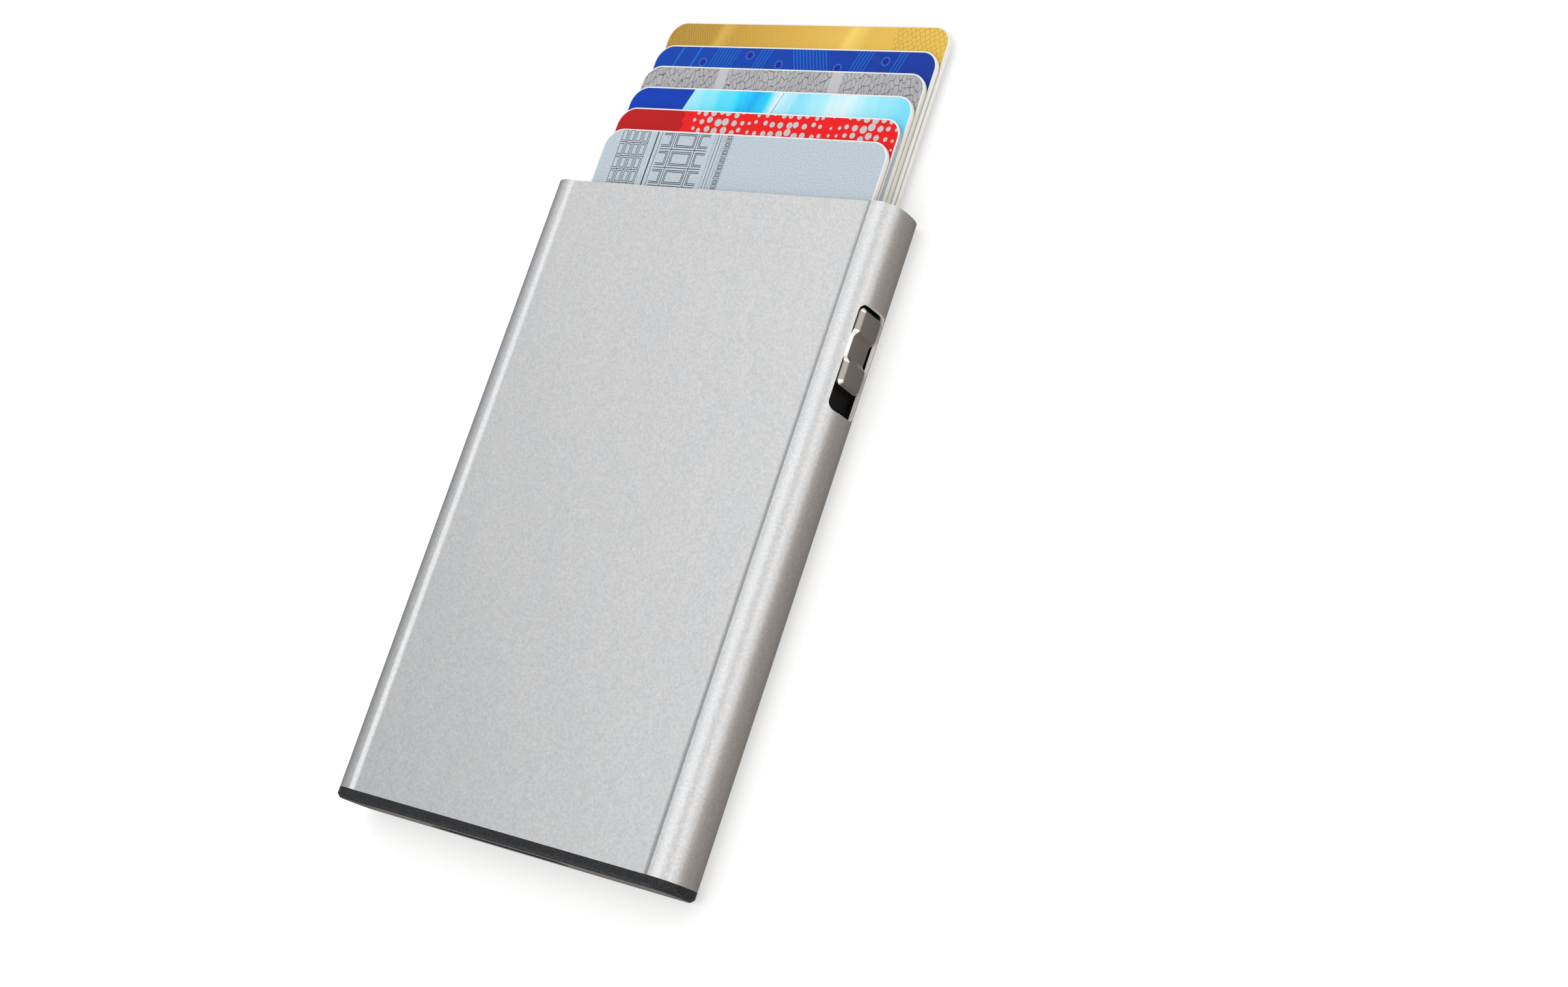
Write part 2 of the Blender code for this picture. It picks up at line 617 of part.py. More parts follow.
def make_ejector_spring():
    """A torsion coil round the pin, in front of the hub: one leg sits in the arm and one in the web."""
    first = math.pi + ARM_SWING
    sweep = 2 * math.pi * COIL_TURNS + COIL_EXTRA
    steps = COIL_TURNS * COIL_POINTS + 1
    turns = []
    for i in range(steps + 1):
        angle = first + sweep * i / steps
        z = COIL_BACK + (COIL_FRONT - COIL_BACK) * i / steps
        turns.append(Vector((COIL_RADIUS * math.cos(angle), COIL_RADIUS * math.sin(angle), z)))
    along_arm = Vector((-math.cos(ARM_SWING), math.sin(ARM_SWING), 0))
    reach = [COIL_LEG * i / LEG_POINTS for i in range(1, LEG_POINTS + 1)]
    rear_leg = [turns[0] + along_arm * far for far in reversed(reach)]
    front_leg = [turns[-1] + Vector((far, 0, 0)) for far in reach]
    points = rear_leg + turns + front_leg
    print("ejector_spring least gap mm:", round(least_gap(points, COIL_WIRE / 2) / MM, 3))
    spring = wire("ejector_spring", points, COIL_WIRE / 2)
    spring.location = PIVOT
    return add_part(spring, MATERIALS["steel"])


def least_gap(points, radius):
    """The least gap of a tube to itself, between points half a turn or more apart along it."""
    far = COIL_POINTS // 2
    gaps = [
        (points[i] - points[j]).length - 2 * radius
        for i in range(len(points))
        for j in range(i + far, len(points))
    ]
    return min(gaps)


def make_release_button():
    """A bar with a chamfered rim and a thumb hollow with soft ramps, drawn in X and Y and run along Z."""
    width = SLOT_HEIGHT - 2 * GAP
    half = BUTTON_LENGTH / 2
    profile = [(-BUTTON_THICKNESS, -half), (0, -half)]
    ramps = [i / HOLLOW_STEPS for i in range(HOLLOW_STEPS + 1)]
    floor = HOLLOW_FLOOR / 2
    for share in ramps:
        depth = HOLLOW_DEPTH * (1 - math.cos(math.pi * share)) / 2
        profile.append((-depth, -floor - HOLLOW_RAMP * (1 - share)))
    for share in reversed(ramps):
        depth = HOLLOW_DEPTH * (1 - math.cos(math.pi * share)) / 2
        profile.append((-depth, floor + HOLLOW_RAMP * (1 - share)))
    profile += [(0, half), (-BUTTON_THICKNESS, half)]
    button = prism("release_button", [profile], -width / 2, width / 2)
    chamfer_face_edges(button, width / 2)
    plan = rounded_rectangle(BUTTON_LENGTH, width, BUTTON_CORNER)
    trim = prism("button_outline", [plan], -2 * BUTTON_THICKNESS, OVERRUN, ALONG_X)
    modifier = boolean(button, trim, "INTERSECT")
    modifier.name = "corners"
    button.location = (BUTTON_FACE_X, BUTTON_Y, SLOT_Z)
    trim.location = button.location
    for name, y in screw_places():
        cut(button, screw_hole(name + "_thread", y, BUTTON_BASE_X - OVERRUN, screw_end()))
    return add_part(button, MATERIALS["button_metal"])


def chamfer_face_edges(button, half_width):
    """Chamfers the two long edges of the outer face, also down through the thumb hollow."""
    shape = bmesh.new()
    shape.from_mesh(button.data)
    deepest = -HOLLOW_DEPTH - NEAR
    rim = [
        edge
        for edge in shape.edges
        if all(v.co.x > deepest for v in edge.verts)
        and (on_plane(edge, 2, half_width) or on_plane(edge, 1, BUTTON_LENGTH / 2))
        and edge.calc_face_angle(0) > RIM_ANGLE
    ]
    bmesh.ops.bevel(shape, geom=rim, offset=BUTTON_BEVEL, segments=1, affect="EDGES")
    shape.to_mesh(button.data)
    shape.free()


def on_plane(edge, axis, distance):
    """Whether both ends lie this far from zero along one axis."""
    return all(abs(abs(v.co[axis]) - distance) < NEAR for v in edge.verts)


def screw_places():
    """The two screws sit under the two ends of the button, beside the thumb hollow."""
    away = (BUTTON_LENGTH / 2 + HOLLOW_FLOOR / 2 + HOLLOW_RAMP) / 2
    return (("button_screw_upper", BUTTON_Y + away), ("button_screw_lower", BUTTON_Y - away))


def screw_end():
    """Where the screws end inside the button."""
    return BUTTON_BASE_X + SCREW_BITE + GAP


def screw_hole(name, y, low, high):
    radius = SCREW_RADIUS + BORE_GAP
    hole = cylinder(name, radius, low, high, (0, 0), SCREW_STEPS, ALONG_X)
    hole.location = (0, y, SLOT_Z)
    return hole


def make_button_carrier():
    """The plastic slide behind the slot: the button's screws pass through it and the rod hangs from it."""
    height = CHASSIS_FRONT - CHASSIS_BACK - 2 * GAP
    low = (CARRIER_IN_X, CARRIER_LOW, INSIDE_Z - height / 2)
    carrier = box("button_carrier", low, (CARRIER_OUT_X, CARRIER_TOP, INSIDE_Z + height / 2))
    for name, y in screw_places():
        cut(carrier, screw_hole(name + "_hole", y, CARRIER_IN_X - OVERRUN, CARRIER_OUT_X + OVERRUN))
        radius = SCREW_HEAD_RADIUS + BORE_GAP
        low = CARRIER_IN_X - OVERRUN
        high = CARRIER_IN_X + SCREW_HEAD_HEIGHT + GAP
        sink = cylinder(name + "_sink", radius, low, high, (0, 0), SCREW_STEPS, ALONG_X)
        sink.location = (0, y, SLOT_Z)
        cut(carrier, sink)
    radius = ROD_RADIUS + BORE_GAP
    low = CARRIER_LOW - OVERRUN
    high = CARRIER_LOW + ROD_SEAT + GAP
    rod_hole = cylinder("rod_hole", radius, low, high, (0, 0), ROD_STEPS, ALONG_Y)
    rod_hole.location = (ROD_X, 0, ROD_Z)
    cut(carrier, rod_hole)
    return add_part(carrier, MATERIALS["black_plastic"])


def make_button_screws():
    head_top = CARRIER_IN_X + SCREW_HEAD_HEIGHT
    for name, y in screw_places():
        screw = cylinder(name, SCREW_HEAD_RADIUS, CARRIER_IN_X, head_top, (0, 0), SCREW_STEPS, ALONG_X)
        screw.location = (0, y, SLOT_Z)
        low = head_top - SCREW_HEAD_HEIGHT / 2
        high = screw_end() - GAP
        shank = cylinder(name + "_shank", SCREW_RADIUS, low, high, (0, 0), SCREW_STEPS, ALONG_X)
        shank.location = screw.location
        join(screw, shank)
        add_part(screw, MATERIALS["steel"])


def make_release_rod():
    """A steel wire from the carrier to just above the latch's tail, with one jog outwards."""
    low = PAWL_PIN.y + PAWL_TAIL + GAP
    jog_top = low + ROD_TAIL + ROD_JOG_LENGTH
    points = [
        Vector((ROD_X, CARRIER_LOW + ROD_SEAT, ROD_Z)),
        Vector((ROD_X, jog_top, ROD_Z)),
        Vector((ROD_X + ROD_JOG, low + ROD_TAIL, ROD_Z)),
        Vector((ROD_X + ROD_JOG, low, ROD_Z)),
    ]
    return add_part(wire("release_rod", points, ROD_RADIUS), MATERIALS["steel"])


def make_button_spring():
    """A compression coil between the chassis's stop and the carrier."""
    steps = RETURN_TURNS * RETURN_POINTS
    length = RETURN_LENGTH - RETURN_WIRE
    points = []
    for i in range(steps + 1):
        angle = 2 * math.pi * i / RETURN_POINTS
        y = length * i / steps - length / 2
        points.append(Vector((RETURN_RADIUS * math.cos(angle), y, RETURN_RADIUS * math.sin(angle))))
    print("button_spring least gap mm:", round(least_gap(points, RETURN_WIRE / 2) / MM, 3))
    spring = wire("button_spring", points, RETURN_WIRE / 2)
    middle_y = SPRING_STOP_Y + GAP + RETURN_LENGTH / 2
    clear = RETURN_RADIUS + RETURN_WIRE / 2 + GAP
    spring.location = (CHANNEL_X + clear, middle_y, INSIDE_Z + clear / 2)
    return add_part(spring, MATERIALS["steel"])


def make_latch_pawl():
    """A catch on its pin: the nose reaches down to the arm's hub and the tail up to the rod."""
    bar = PAWL_BAR / 2
    ring = arc(0, 0, PAWL_BODY, -math.pi / 3, math.pi / 3, ARC_STEPS)
    ring += [(0, PAWL_TAIL), (-PAWL_BAR, PAWL_TAIL)]
    ring += arc(0, 0, PAWL_BODY, math.pi * 2 / 3, math.pi * 7 / 6, ARC_STEPS)
    nose_x = -(PAWL_PIN.x - PIVOT.x) + nose_offset()
    ring += [(nose_x, bar - PAWL_NOSE), (nose_x + bar / 2, -PAWL_NOSE)]
    ring.append((nose_x + PAWL_BAR, bar - PAWL_NOSE))
    pawl = prism("latch_pawl", [ring], HUB_BACK, HUB_BACK + PAWL_HEIGHT)
    pawl.location = PAWL_PIN
    hole = PAWL_PIN_RADIUS + BORE_GAP
    place = (PAWL_PIN.x, PAWL_PIN.y)
    cut(pawl, cylinder("pawl_bore", hole, CHASSIS_BACK, CHASSIS_FRONT, place, SCREW_STEPS))
    return add_part(pawl, MATERIALS["steel"])


def nose_offset():
    """How far from the pivot, along X, the nose stands clear of the hub at its height."""
    rise = PAWL_ABOVE_PIVOT - PAWL_NOSE
    return math.sqrt(max(0.0, HUB_RADIUS**2 - rise**2)) + GAP


def make_latch_pin():
    pin = cylinder("latch_pin", PAWL_PIN_RADIUS, CHASSIS_BACK, CHASSIS_FRONT, steps=SCREW_STEPS)
    pin.location = PAWL_PIN
    return add_part(pin, MATERIALS["steel"])


def make_latch_spring():
    """A bowed wire between the sleeve's side and the pawl's nose."""
    x = CHASSIS_X - LATCH_WIRE / 2
    low = PAWL_PIN.y - PAWL_NOSE
    high = PAWL_PIN.y - PAWL_BODY
    z = HUB_BACK + PAWL_HEIGHT / 2
    shares = [i / ARC_STEPS for i in range(ARC_STEPS + 1)]
    points = [Vector((x - LATCH_BOW * math.sin(math.pi * s), low + (high - low) * s, z)) for s in shares]
    return add_part(wire("latch_spring", points, LATCH_WIRE / 2), MATERIALS["steel"])


def make_brake_spring():
    """A bowed steel leaf in the left rail's pocket."""
    far = POCKET_LEFT - BRAKE_POCKET + GAP
    bow = BRAKE_POCKET - PAD_THICKNESS - LEAF_THICKNESS - 2 * GAP
    half = BRAKE_LENGTH / 2
    shares = [i / LEAF_STEPS for i in range(LEAF_STEPS + 1)]
    inner = [(far + bow * math.sin(math.pi * s), BRAKE_Y - half + BRAKE_LENGTH * s) for s in shares]
    outer = [(x + LEAF_THICKNESS, y) for x, y in reversed(inner)]
    leaf = prism("brake_spring", [inner + outer], -BRAKE_HEIGHT / 2, BRAKE_HEIGHT / 2)
    leaf.location = (0, 0, INSIDE_Z)
    return add_part(leaf, MATERIALS["steel"])


def make_brake_pad():
    """A felt strip on the leaf's crown, just clear of the cards' edges."""
    low = (POCKET_LEFT - PAD_THICKNESS, BRAKE_Y - PAD_LENGTH / 2, INSIDE_Z - BRAKE_HEIGHT / 2)
    high = (POCKET_LEFT, BRAKE_Y + PAD_LENGTH / 2, INSIDE_Z + BRAKE_HEIGHT / 2)
    return add_part(box("brake_pad", low, high), MATERIALS["felt"])


def make_cards():
    outline = rounded_rectangle(CARD_WIDTH, CARD_LENGTH, CARD_CORNER)
    half = CARD_THICKNESS / 2
    for number in range(1, CARD_COUNT + 1):
        card = prism(f"card_{number}", [outline], -half, half)
        bottom = CARD_FLOOR + card_lift(number)
        card.location = (CARD_SHIFT, bottom + CARD_LENGTH / 2, card_z(number))
        colour = CARD_COLOURS[(number - 1) % len(CARD_COLOURS)]
        add_part(card, finish(f"card_{number}_print", colour, 0.35, 0.0))


clear_scene()
PARTS = new_collection("pop_up_card_holder")
CUTTERS = new_collection("cutters", hidden=True)
HOLDER = bpy.data.objects.new("holder_frame", None)
HOLDER.location = (0, FRAME_Y, 0)
PARTS.objects.link(HOLDER)
MATERIALS = {name: finish(name, *values) for name, values in FINISHES.items()}

make_case_shell()
make_base_cap()
make_chassis()
make_release_button()
make_button_carrier()
make_button_screws()
make_release_rod()
make_button_spring()
make_latch_pawl()
make_latch_pin()
make_latch_spring()
make_ejector_arm()
make_pivot_pin()
make_ejector_spring()
make_brake_spring()
make_brake_pad()
make_cards()
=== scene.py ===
"""The looks of a pop up card holder: a satin aluminium sleeve on a black base cap, six fanned cards.

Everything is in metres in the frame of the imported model: X across towards the button, Y towards the
mouth, Z from the back face up to the front panel. Each visible piece is modelled here on the sizes
that the frame gives, and the plain inner parts of the frame get their finishes.
"""

import math

import bmesh
import bpy
from mathutils import Matrix, Vector


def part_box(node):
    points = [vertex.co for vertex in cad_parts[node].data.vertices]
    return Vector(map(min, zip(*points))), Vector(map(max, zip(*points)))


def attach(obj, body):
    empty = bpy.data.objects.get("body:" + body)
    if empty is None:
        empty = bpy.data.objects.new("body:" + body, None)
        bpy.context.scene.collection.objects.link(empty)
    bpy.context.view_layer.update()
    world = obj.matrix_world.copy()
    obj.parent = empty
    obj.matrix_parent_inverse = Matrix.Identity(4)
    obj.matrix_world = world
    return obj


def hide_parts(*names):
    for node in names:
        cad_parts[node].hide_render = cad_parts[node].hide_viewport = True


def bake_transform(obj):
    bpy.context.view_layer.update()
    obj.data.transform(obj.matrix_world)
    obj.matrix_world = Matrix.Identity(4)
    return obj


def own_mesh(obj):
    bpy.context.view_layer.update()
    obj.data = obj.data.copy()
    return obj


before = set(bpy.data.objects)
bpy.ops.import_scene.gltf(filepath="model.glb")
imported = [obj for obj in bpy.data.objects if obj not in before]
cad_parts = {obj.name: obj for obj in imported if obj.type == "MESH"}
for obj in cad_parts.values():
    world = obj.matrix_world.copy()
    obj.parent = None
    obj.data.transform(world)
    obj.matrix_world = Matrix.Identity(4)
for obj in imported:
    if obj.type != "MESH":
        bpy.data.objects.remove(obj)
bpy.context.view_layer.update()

MM = 0.001
DEG = math.pi / 180
NEAR = 0.002 * MM  # points this close lie on the same plane
PARALLEL = 0.999  # an edge with this share of its length along an axis runs along it
FACING = 0.99  # a face with this share of its normal along an axis looks along it
END_FACING = 0.9  # the same for an end face, which may lean a little
SMOOTH_ANGLE = 32 * DEG
WIRE_SMOOTH = 50 * DEG
SCREW_SMOOTH = 25 * DEG
SMOOTH_ALL = 180 * DEG
FLAT_ANGLE = 0.5 * DEG  # faces that meet at less than this become one
CORNER_SEGMENTS = 8

# The sleeve
CASE_LOW, CASE_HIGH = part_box("case_shell")
SIDE_REACH = 4.4 * MM  # the side curves all the way from near its middle to each face
SIDE_DEPTH = 3.8 * MM
SIDE_SEGMENTS = 28
SIDE_FULLNESS = 0.574
PANEL_MIDDLE = -0.12 * MM
RAMP_FOOT = 27.87 * MM
RAMP_WIDTH = 1.0 * MM
RAMP_STEPS = 8
CAP_RAMP_STEPS = 4
RAMP_POWER = 2.2
PANEL_DROP = 0.3 * MM
RAMP_SOFTNESS = 0.07 * MM
SLEEVE_WALL = 0.6 * MM
SLOT_FROM_MOUTH = 15.1 * MM
SLOT_LENGTH = 16.1 * MM
SLOT_HEIGHT = 6.0 * MM
SLOT_CORNER = 1.2 * MM
SLOT_Y = CASE_HIGH.y - SLOT_FROM_MOUTH - SLOT_LENGTH / 2
SLOT_RELIEF = 0.08 * MM  # how much further the slot reaches towards the front, where the side curves
CUT_EDGE = 0.09 * MM  # the broken edge of the mouth and the slot

# The base cap
CAP_LOW, CAP_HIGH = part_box("base_cap")
FLANGE_TOP = CASE_LOW.y - 0.04 * MM
CAP_BEVEL = 0.5 * MM
CAP_EDGE = 0.1 * MM
CAP_EDGE_ANGLE = 40 * DEG
CAP_EDGE_SEGMENTS = 3
PLUG_INSET = 1.05 * MM
PLUG_WALL = 1.2 * MM
RECESS_LENGTH = 26.0 * MM
RECESS_WIDTH = 3.6 * MM
RECESS_CORNER = 1.75 * MM
RECESS_DEPTH = 0.8 * MM
RECESS_SHIFT = -1.5 * MM

# The button
BUTTON_LOW, BUTTON_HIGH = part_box("release_button")
BUTTON_CORNER = 0.9 * MM
BUTTON_CHAMFER = 0.56 * MM
HOLLOW_DEPTH = 0.7 * MM
HOLLOW_FLOOR = 2.7 * MM
HOLLOW_RAMP = 1.1 * MM
HOLLOW_STEPS = 10
BUTTON_EDGE = 0.11 * MM
BUTTON_EDGE_ANGLE = 25 * DEG
SLOT_Z = (BUTTON_LOW.z + BUTTON_HIGH.z) / 2

# The cards
CARD_CORNER = 3.18 * MM
CARD_SEGMENTS = 14
CARD_EDGE = 0.12 * MM
CARD_RIM = 0.14 * MM
CARD_COUNT = 6
SIDE_TONES = (  # the cut edges, from the front card to the rear one
    (0.90, 0.885, 0.82, 1),
    (0.42, 0.46, 0.52, 1),
    (0.91, 0.84, 0.76, 1),
    (0.76, 0.78, 0.56, 1),
    (0.96, 0.93, 0.88, 1),
    (0.97, 0.95, 0.91, 1),
)
RING_INNER = 0.55  # the small rings of the blue print, in millimetres
RING_OUTER = 0.8

# The springs, the rod, the brake, the screws and the other inner parts
COIL_TURNS = 2
COIL_EXTRA = 45 * DEG
COIL_RADIUS = 2.4 * MM
COIL_WIRE = 0.5 * MM
COIL_PITCH = 0.93 * MM
COIL_LEG = 5.8 * MM
COIL_BEND = 0.35 * MM
COIL_STEPS = 36
BEND_STEPS = 4
RETURN_TURNS = 8
RETURN_WIRE = 0.35 * MM
RETURN_LENGTH = 10.9 * MM
CLOSED_PITCH = 1.15  # the rise of an end turn, in wire widths
RETURN_STEPS = 28
LATCH_WIRE = 0.3 * MM
LATCH_STEPS = 24
ROD_TAIL = 2.2 * MM
ROD_JOG_LENGTH = 2.5 * MM
ROD_BEND = 0.8 * MM
LEAF_THICKNESS = 0.25 * MM
LEAF_CORNER = 1.2 * MM
LEAF_STEPS = 32
FELT_CORNER = 0.8 * MM
FELT_GRID = 0.13 * MM
FELT_NAP = 0.35 * MM
FELT_RISE = 0.05 * MM
SCREW_HEAD = 0.5 * MM
SCREW_SHANK = 0.5 * MM
SCREW_DOME = 0.2 * MM
SCREW_SOCKET = 0.42 * MM
SCREW_PITCH = 0.35 * MM
SCREW_ROOT_SHARE = 0.82
SCREW_SIDES = 32
EDGE_BREAK = 0.1 * MM  # the broken edges of moulded inner parts
PIN_EDGE = 0.12 * MM
PAWL_EDGE = 0.05 * MM
INNER_EDGE_ANGLE = 35 * DEG

# The camera, worked out from the cards' and the case's outlines in the photograph
CAMERA_PLACE = (230.410 * MM, -65.515 * MM, 269.997 * MM)
CAMERA_RIGHT = (0.79407, 0.30834, -0.52381)
CAMERA_UP = (-0.12793, 0.92726, 0.35189)
CAMERA_LENS = 56.03
SENSOR_WIDTH = 36.0
CAMERA_NEAR = 10 * MM
CAMERA_FAR = 20

# The finishes, with their grain in noise cells to the metre
BLAST_GRAIN = 2600
BLAST_CLOUD = 500
BUTTON_GRAIN = 4200
STEEL_GRAIN = 1800
FELT_GRAIN = 5200
SHEET_GRAIN = 900
CAP_GRAIN = 13000
MOULD_GRAIN = 5000
PLASTIC_GLOSS = 0.22
PRINT_GLOSS = 0.1

# The studio
STUDIO_LEVEL = 0.90
FLOOR_SIZE = 6
FLOOR_DROP = 0.02 * MM
FLOOR_TONE = (0.80, 0.80, 0.795, 1)
FLOOR_LIFT = 0.34
FLAG_FADE = 0.6
COOL_GREY = (0.95, 0.975, 1, 1)
WARM_GREY = (1, 0.92, 0.855, 1)
COOL_LIGHT = (0.955, 0.98, 1.0)
WARM_LIGHT = (1.0, 0.93, 0.82)


def start_box(name, low, high):
    """A box from low to high, with its place in its mesh, open in edit mode."""
    bpy.ops.object.select_all(action="DESELECT")
    middle = [(a + b) / 2 for a, b in zip(low, high)]
    size = [b - a for a, b in zip(low, high)]
    bpy.ops.mesh.primitive_cube_add(size=1, location=middle, scale=size)
    piece = bpy.context.object
    piece.name = name
    piece.data.name = name
    bpy.ops.object.transform_apply(location=True, rotation=True, scale=True)
    bpy.ops.object.mode_set(mode="EDIT")
    return piece


def pick(piece, kind, wanted):
    """Selects the vertices, edges or faces that pass a test, and nothing else."""
    bpy.ops.mesh.select_mode(type=kind)
    bpy.ops.mesh.select_all(action="DESELECT")
    shape = bmesh.from_edit_mesh(piece.data)
    parts = {"VERT": shape.verts, "EDGE": shape.edges, "FACE": shape.faces}[kind]
    for part in parts:
        if wanted(part):
            part.select_set(True)
    bmesh.update_edit_mesh(piece.data)


def runs_along(edge, axis):
    """Whether an edge is parallel to this axis."""
    a, b = edge.verts
    return abs(b.co[axis] - a.co[axis]) > PARALLEL * (b.co - a.co).length


def lies_at(part, axis, place):
    """Whether all of an edge or a face lies on this plane."""
    return all(abs(v.co[axis] - place) < NEAR for v in part.verts)


def faces_way(face, axis, sign):
    return face.normal[axis] * sign > FACING


def middle_of(edge):
    a, b = edge.verts
    return (a.co + b.co) / 2


def round_edges(width, segments, profile=0.5):
    bpy.ops.mesh.bevel(
        offset=width, segments=segments, profile=profile, affect="EDGES", clamp_overlap=False,
    )


def slice_at(axis, place):
    """Cuts what is selected along a plane."""
    normal = [0, 0, 0]
    normal[axis] = 1
    point = [0, 0, 0]
    point[axis] = place
    bpy.ops.mesh.bisect(plane_co=point, plane_no=normal, threshold=NEAR / 2)


def shift_points(piece, wanted, move):
    pick(piece, "VERT", wanted)
    bpy.ops.transform.translate(value=move)


def close_up(piece, smooth=SMOOTH_ANGLE):
    """Leaves edit mode with all faces pointing out and shades what is round."""
    bpy.ops.mesh.select_all(action="SELECT")
    bpy.ops.mesh.normals_make_consistent(inside=False)
    bpy.ops.object.mode_set(mode="OBJECT")
    smooth_piece(piece, smooth)


def only(piece):
    bpy.ops.object.select_all(action="DESELECT")
    piece.select_set(True)
    bpy.context.view_layer.objects.active = piece


def smooth_piece(piece, angle=SMOOTH_ANGLE):
    only(piece)
    bpy.ops.object.shade_smooth_by_angle(angle=angle)


def even_shading(piece):
    """Keeps flat faces flat to the eye beside their rounded edges."""
    apply_modifier(piece, "WEIGHTED_NORMAL", mode="FACE_AREA", weight=100, keep_sharp=True)


def apply_modifier(piece, kind, **settings):
    modifier = piece.modifiers.new(kind.lower(), kind)
    for name, value in settings.items():
        setattr(modifier, name, value)
    only(piece)
    bpy.ops.object.modifier_apply(modifier=modifier.name)


def carve(piece, tool):
    """Cuts the tool's shape out of the piece and throws the tool away."""
    apply_modifier(piece, "BOOLEAN", operation="DIFFERENCE", solver="EXACT", object=tool)
    bpy.data.objects.remove(tool, do_unlink=True)


def break_edges(piece, width, angle=SMOOTH_ANGLE, segments=2):
    apply_modifier(
        piece, "BEVEL", width=width, segments=segments, limit_method="ANGLE", angle_limit=angle,
        use_clamp_overlap=True, harden_normals=False, miter_outer="MITER_ARC",
    )
    smooth_piece(piece)
    even_shading(piece)


def place_piece(piece, body, slot, *nodes):
    """Ties the finished piece to the body it moves with and hides the parts it stands for."""
    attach(piece, body)
    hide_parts(*nodes)
    return piece


def bend_piece(piece, node):
    """Bakes the finished piece's place into its mesh and hides the part it stands for."""
    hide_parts(node)
    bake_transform(piece)
    return piece


def section_block(name, low_y, high_y):
    """A block with the sleeve's outline and full round sides, before its panel is sunk."""
    low = (CASE_LOW.x, low_y, CASE_LOW.z)
    high = (CASE_HIGH.x, high_y, CASE_HIGH.z)
    block = start_box(name, low, high)
    pick(block, "EDGE", lambda e: runs_along(e, 1))
    round_edges(SIDE_REACH, SIDE_SEGMENTS, SIDE_FULLNESS)
    for side in (CASE_LOW.x, CASE_HIGH.x):
        pick(block, "VERT", lambda v: abs(v.co.x - side) < SIDE_REACH + NEAR)
        bpy.ops.transform.resize(value=(SIDE_DEPTH / SIDE_REACH, 1, 1), center_override=(side, 0, 0))
    return block


def sink_panel(block, steps, depth):
    """Lowers the front, and what lies to this depth below it, between two hollow curved ramps."""
    away = lambda v: abs(v.co.x - PANEL_MIDDLE)
    at_top = lambda v: v.co.z > CASE_HIGH.z - depth - NEAR
    shares = [i / steps for i in range(steps + 1)]
    for share in shares:
        for side in (-1, 1):
            pick(block, "FACE", lambda f: all(at_top(v) for v in f.verts))
            slice_at(0, PANEL_MIDDLE + side * (RAMP_FOOT + RAMP_WIDTH * share))
    shift_points(block, lambda v: away(v) < RAMP_FOOT + NEAR and at_top(v), (0, 0, -PANEL_DROP))
    for share in shares[1:-1]:
        place = RAMP_FOOT + RAMP_WIDTH * share
        drop = PANEL_DROP * (1 - share**RAMP_POWER)
        shift_points(block, lambda v: abs(away(v) - place) < NEAR and at_top(v), (0, 0, -drop))


def soften_ramps(piece):
    """Rounds the long corners where the raised edges start."""
    top = RAMP_FOOT + RAMP_WIDTH
    near_top = lambda m: m.z > CASE_HIGH.z - NEAR and abs(abs(m.x - PANEL_MIDDLE) - top) < NEAR
    pick(piece, "EDGE", lambda e: runs_along(e, 1) and near_top(middle_of(e)))
    round_edges(RAMP_SOFTNESS, 3)


def make_sleeve():
    """One extruded tube with an open slot in its right side."""
    sleeve = section_block("sleeve", CASE_LOW.y, CASE_HIGH.y)
    pick(sleeve, "FACE", lambda f: lies_at(f, 1, CASE_LOW.y) or lies_at(f, 1, CASE_HIGH.y))
    bpy.ops.mesh.inset(thickness=SLEEVE_WALL, use_even_offset=True, use_boundary=True)
    bpy.ops.mesh.delete(type="ONLY_FACE")
    pick(sleeve, "EDGE", lambda e: len(e.link_faces) == 1)
    bpy.ops.mesh.bridge_edge_loops()
    sink_panel(sleeve, RAMP_STEPS, SLEEVE_WALL)
    soften_ramps(sleeve)
    close_up(sleeve)
    carve(sleeve, slot_tool())
    break_edges(sleeve, CUT_EDGE)
    for face in sleeve.data.polygons:
        if is_cut_face(face):
            face.material_index = 1
    return place_piece(sleeve, "case", "aluminium", "case_shell")


def is_cut_face(face):
    """Whether a face is sawn or milled: the sleeve's two ends and the walls of its slot."""
    away_y = abs(face.center.y - SLOT_Y)
    away_z = abs(face.center.z - SLOT_Z)
    in_slot = away_y < SLOT_LENGTH / 2 + NEAR and away_z < SLOT_HEIGHT / 2 + SLOT_RELIEF + NEAR
    on_right = face.center.x > CASE_HIGH.x - SIDE_REACH
    return abs(face.normal.y) > END_FACING or (in_slot and on_right and abs(face.normal.x) < 0.3)


def slot_tool():
    """A bar with rounded ends that cuts the button's slot."""
    low = (CASE_HIGH.x - SIDE_REACH, SLOT_Y - SLOT_LENGTH / 2, SLOT_Z - SLOT_HEIGHT / 2)
    high_z = SLOT_Z + SLOT_HEIGHT / 2 + SLOT_RELIEF
    high = (CASE_HIGH.x + SIDE_REACH, SLOT_Y + SLOT_LENGTH / 2, high_z)
    tool = start_box("slot_tool", low, high)
    pick(tool, "EDGE", lambda e: runs_along(e, 0))
    round_edges(SLOT_CORNER, CORNER_SEGMENTS)
    close_up(tool)
    return tool


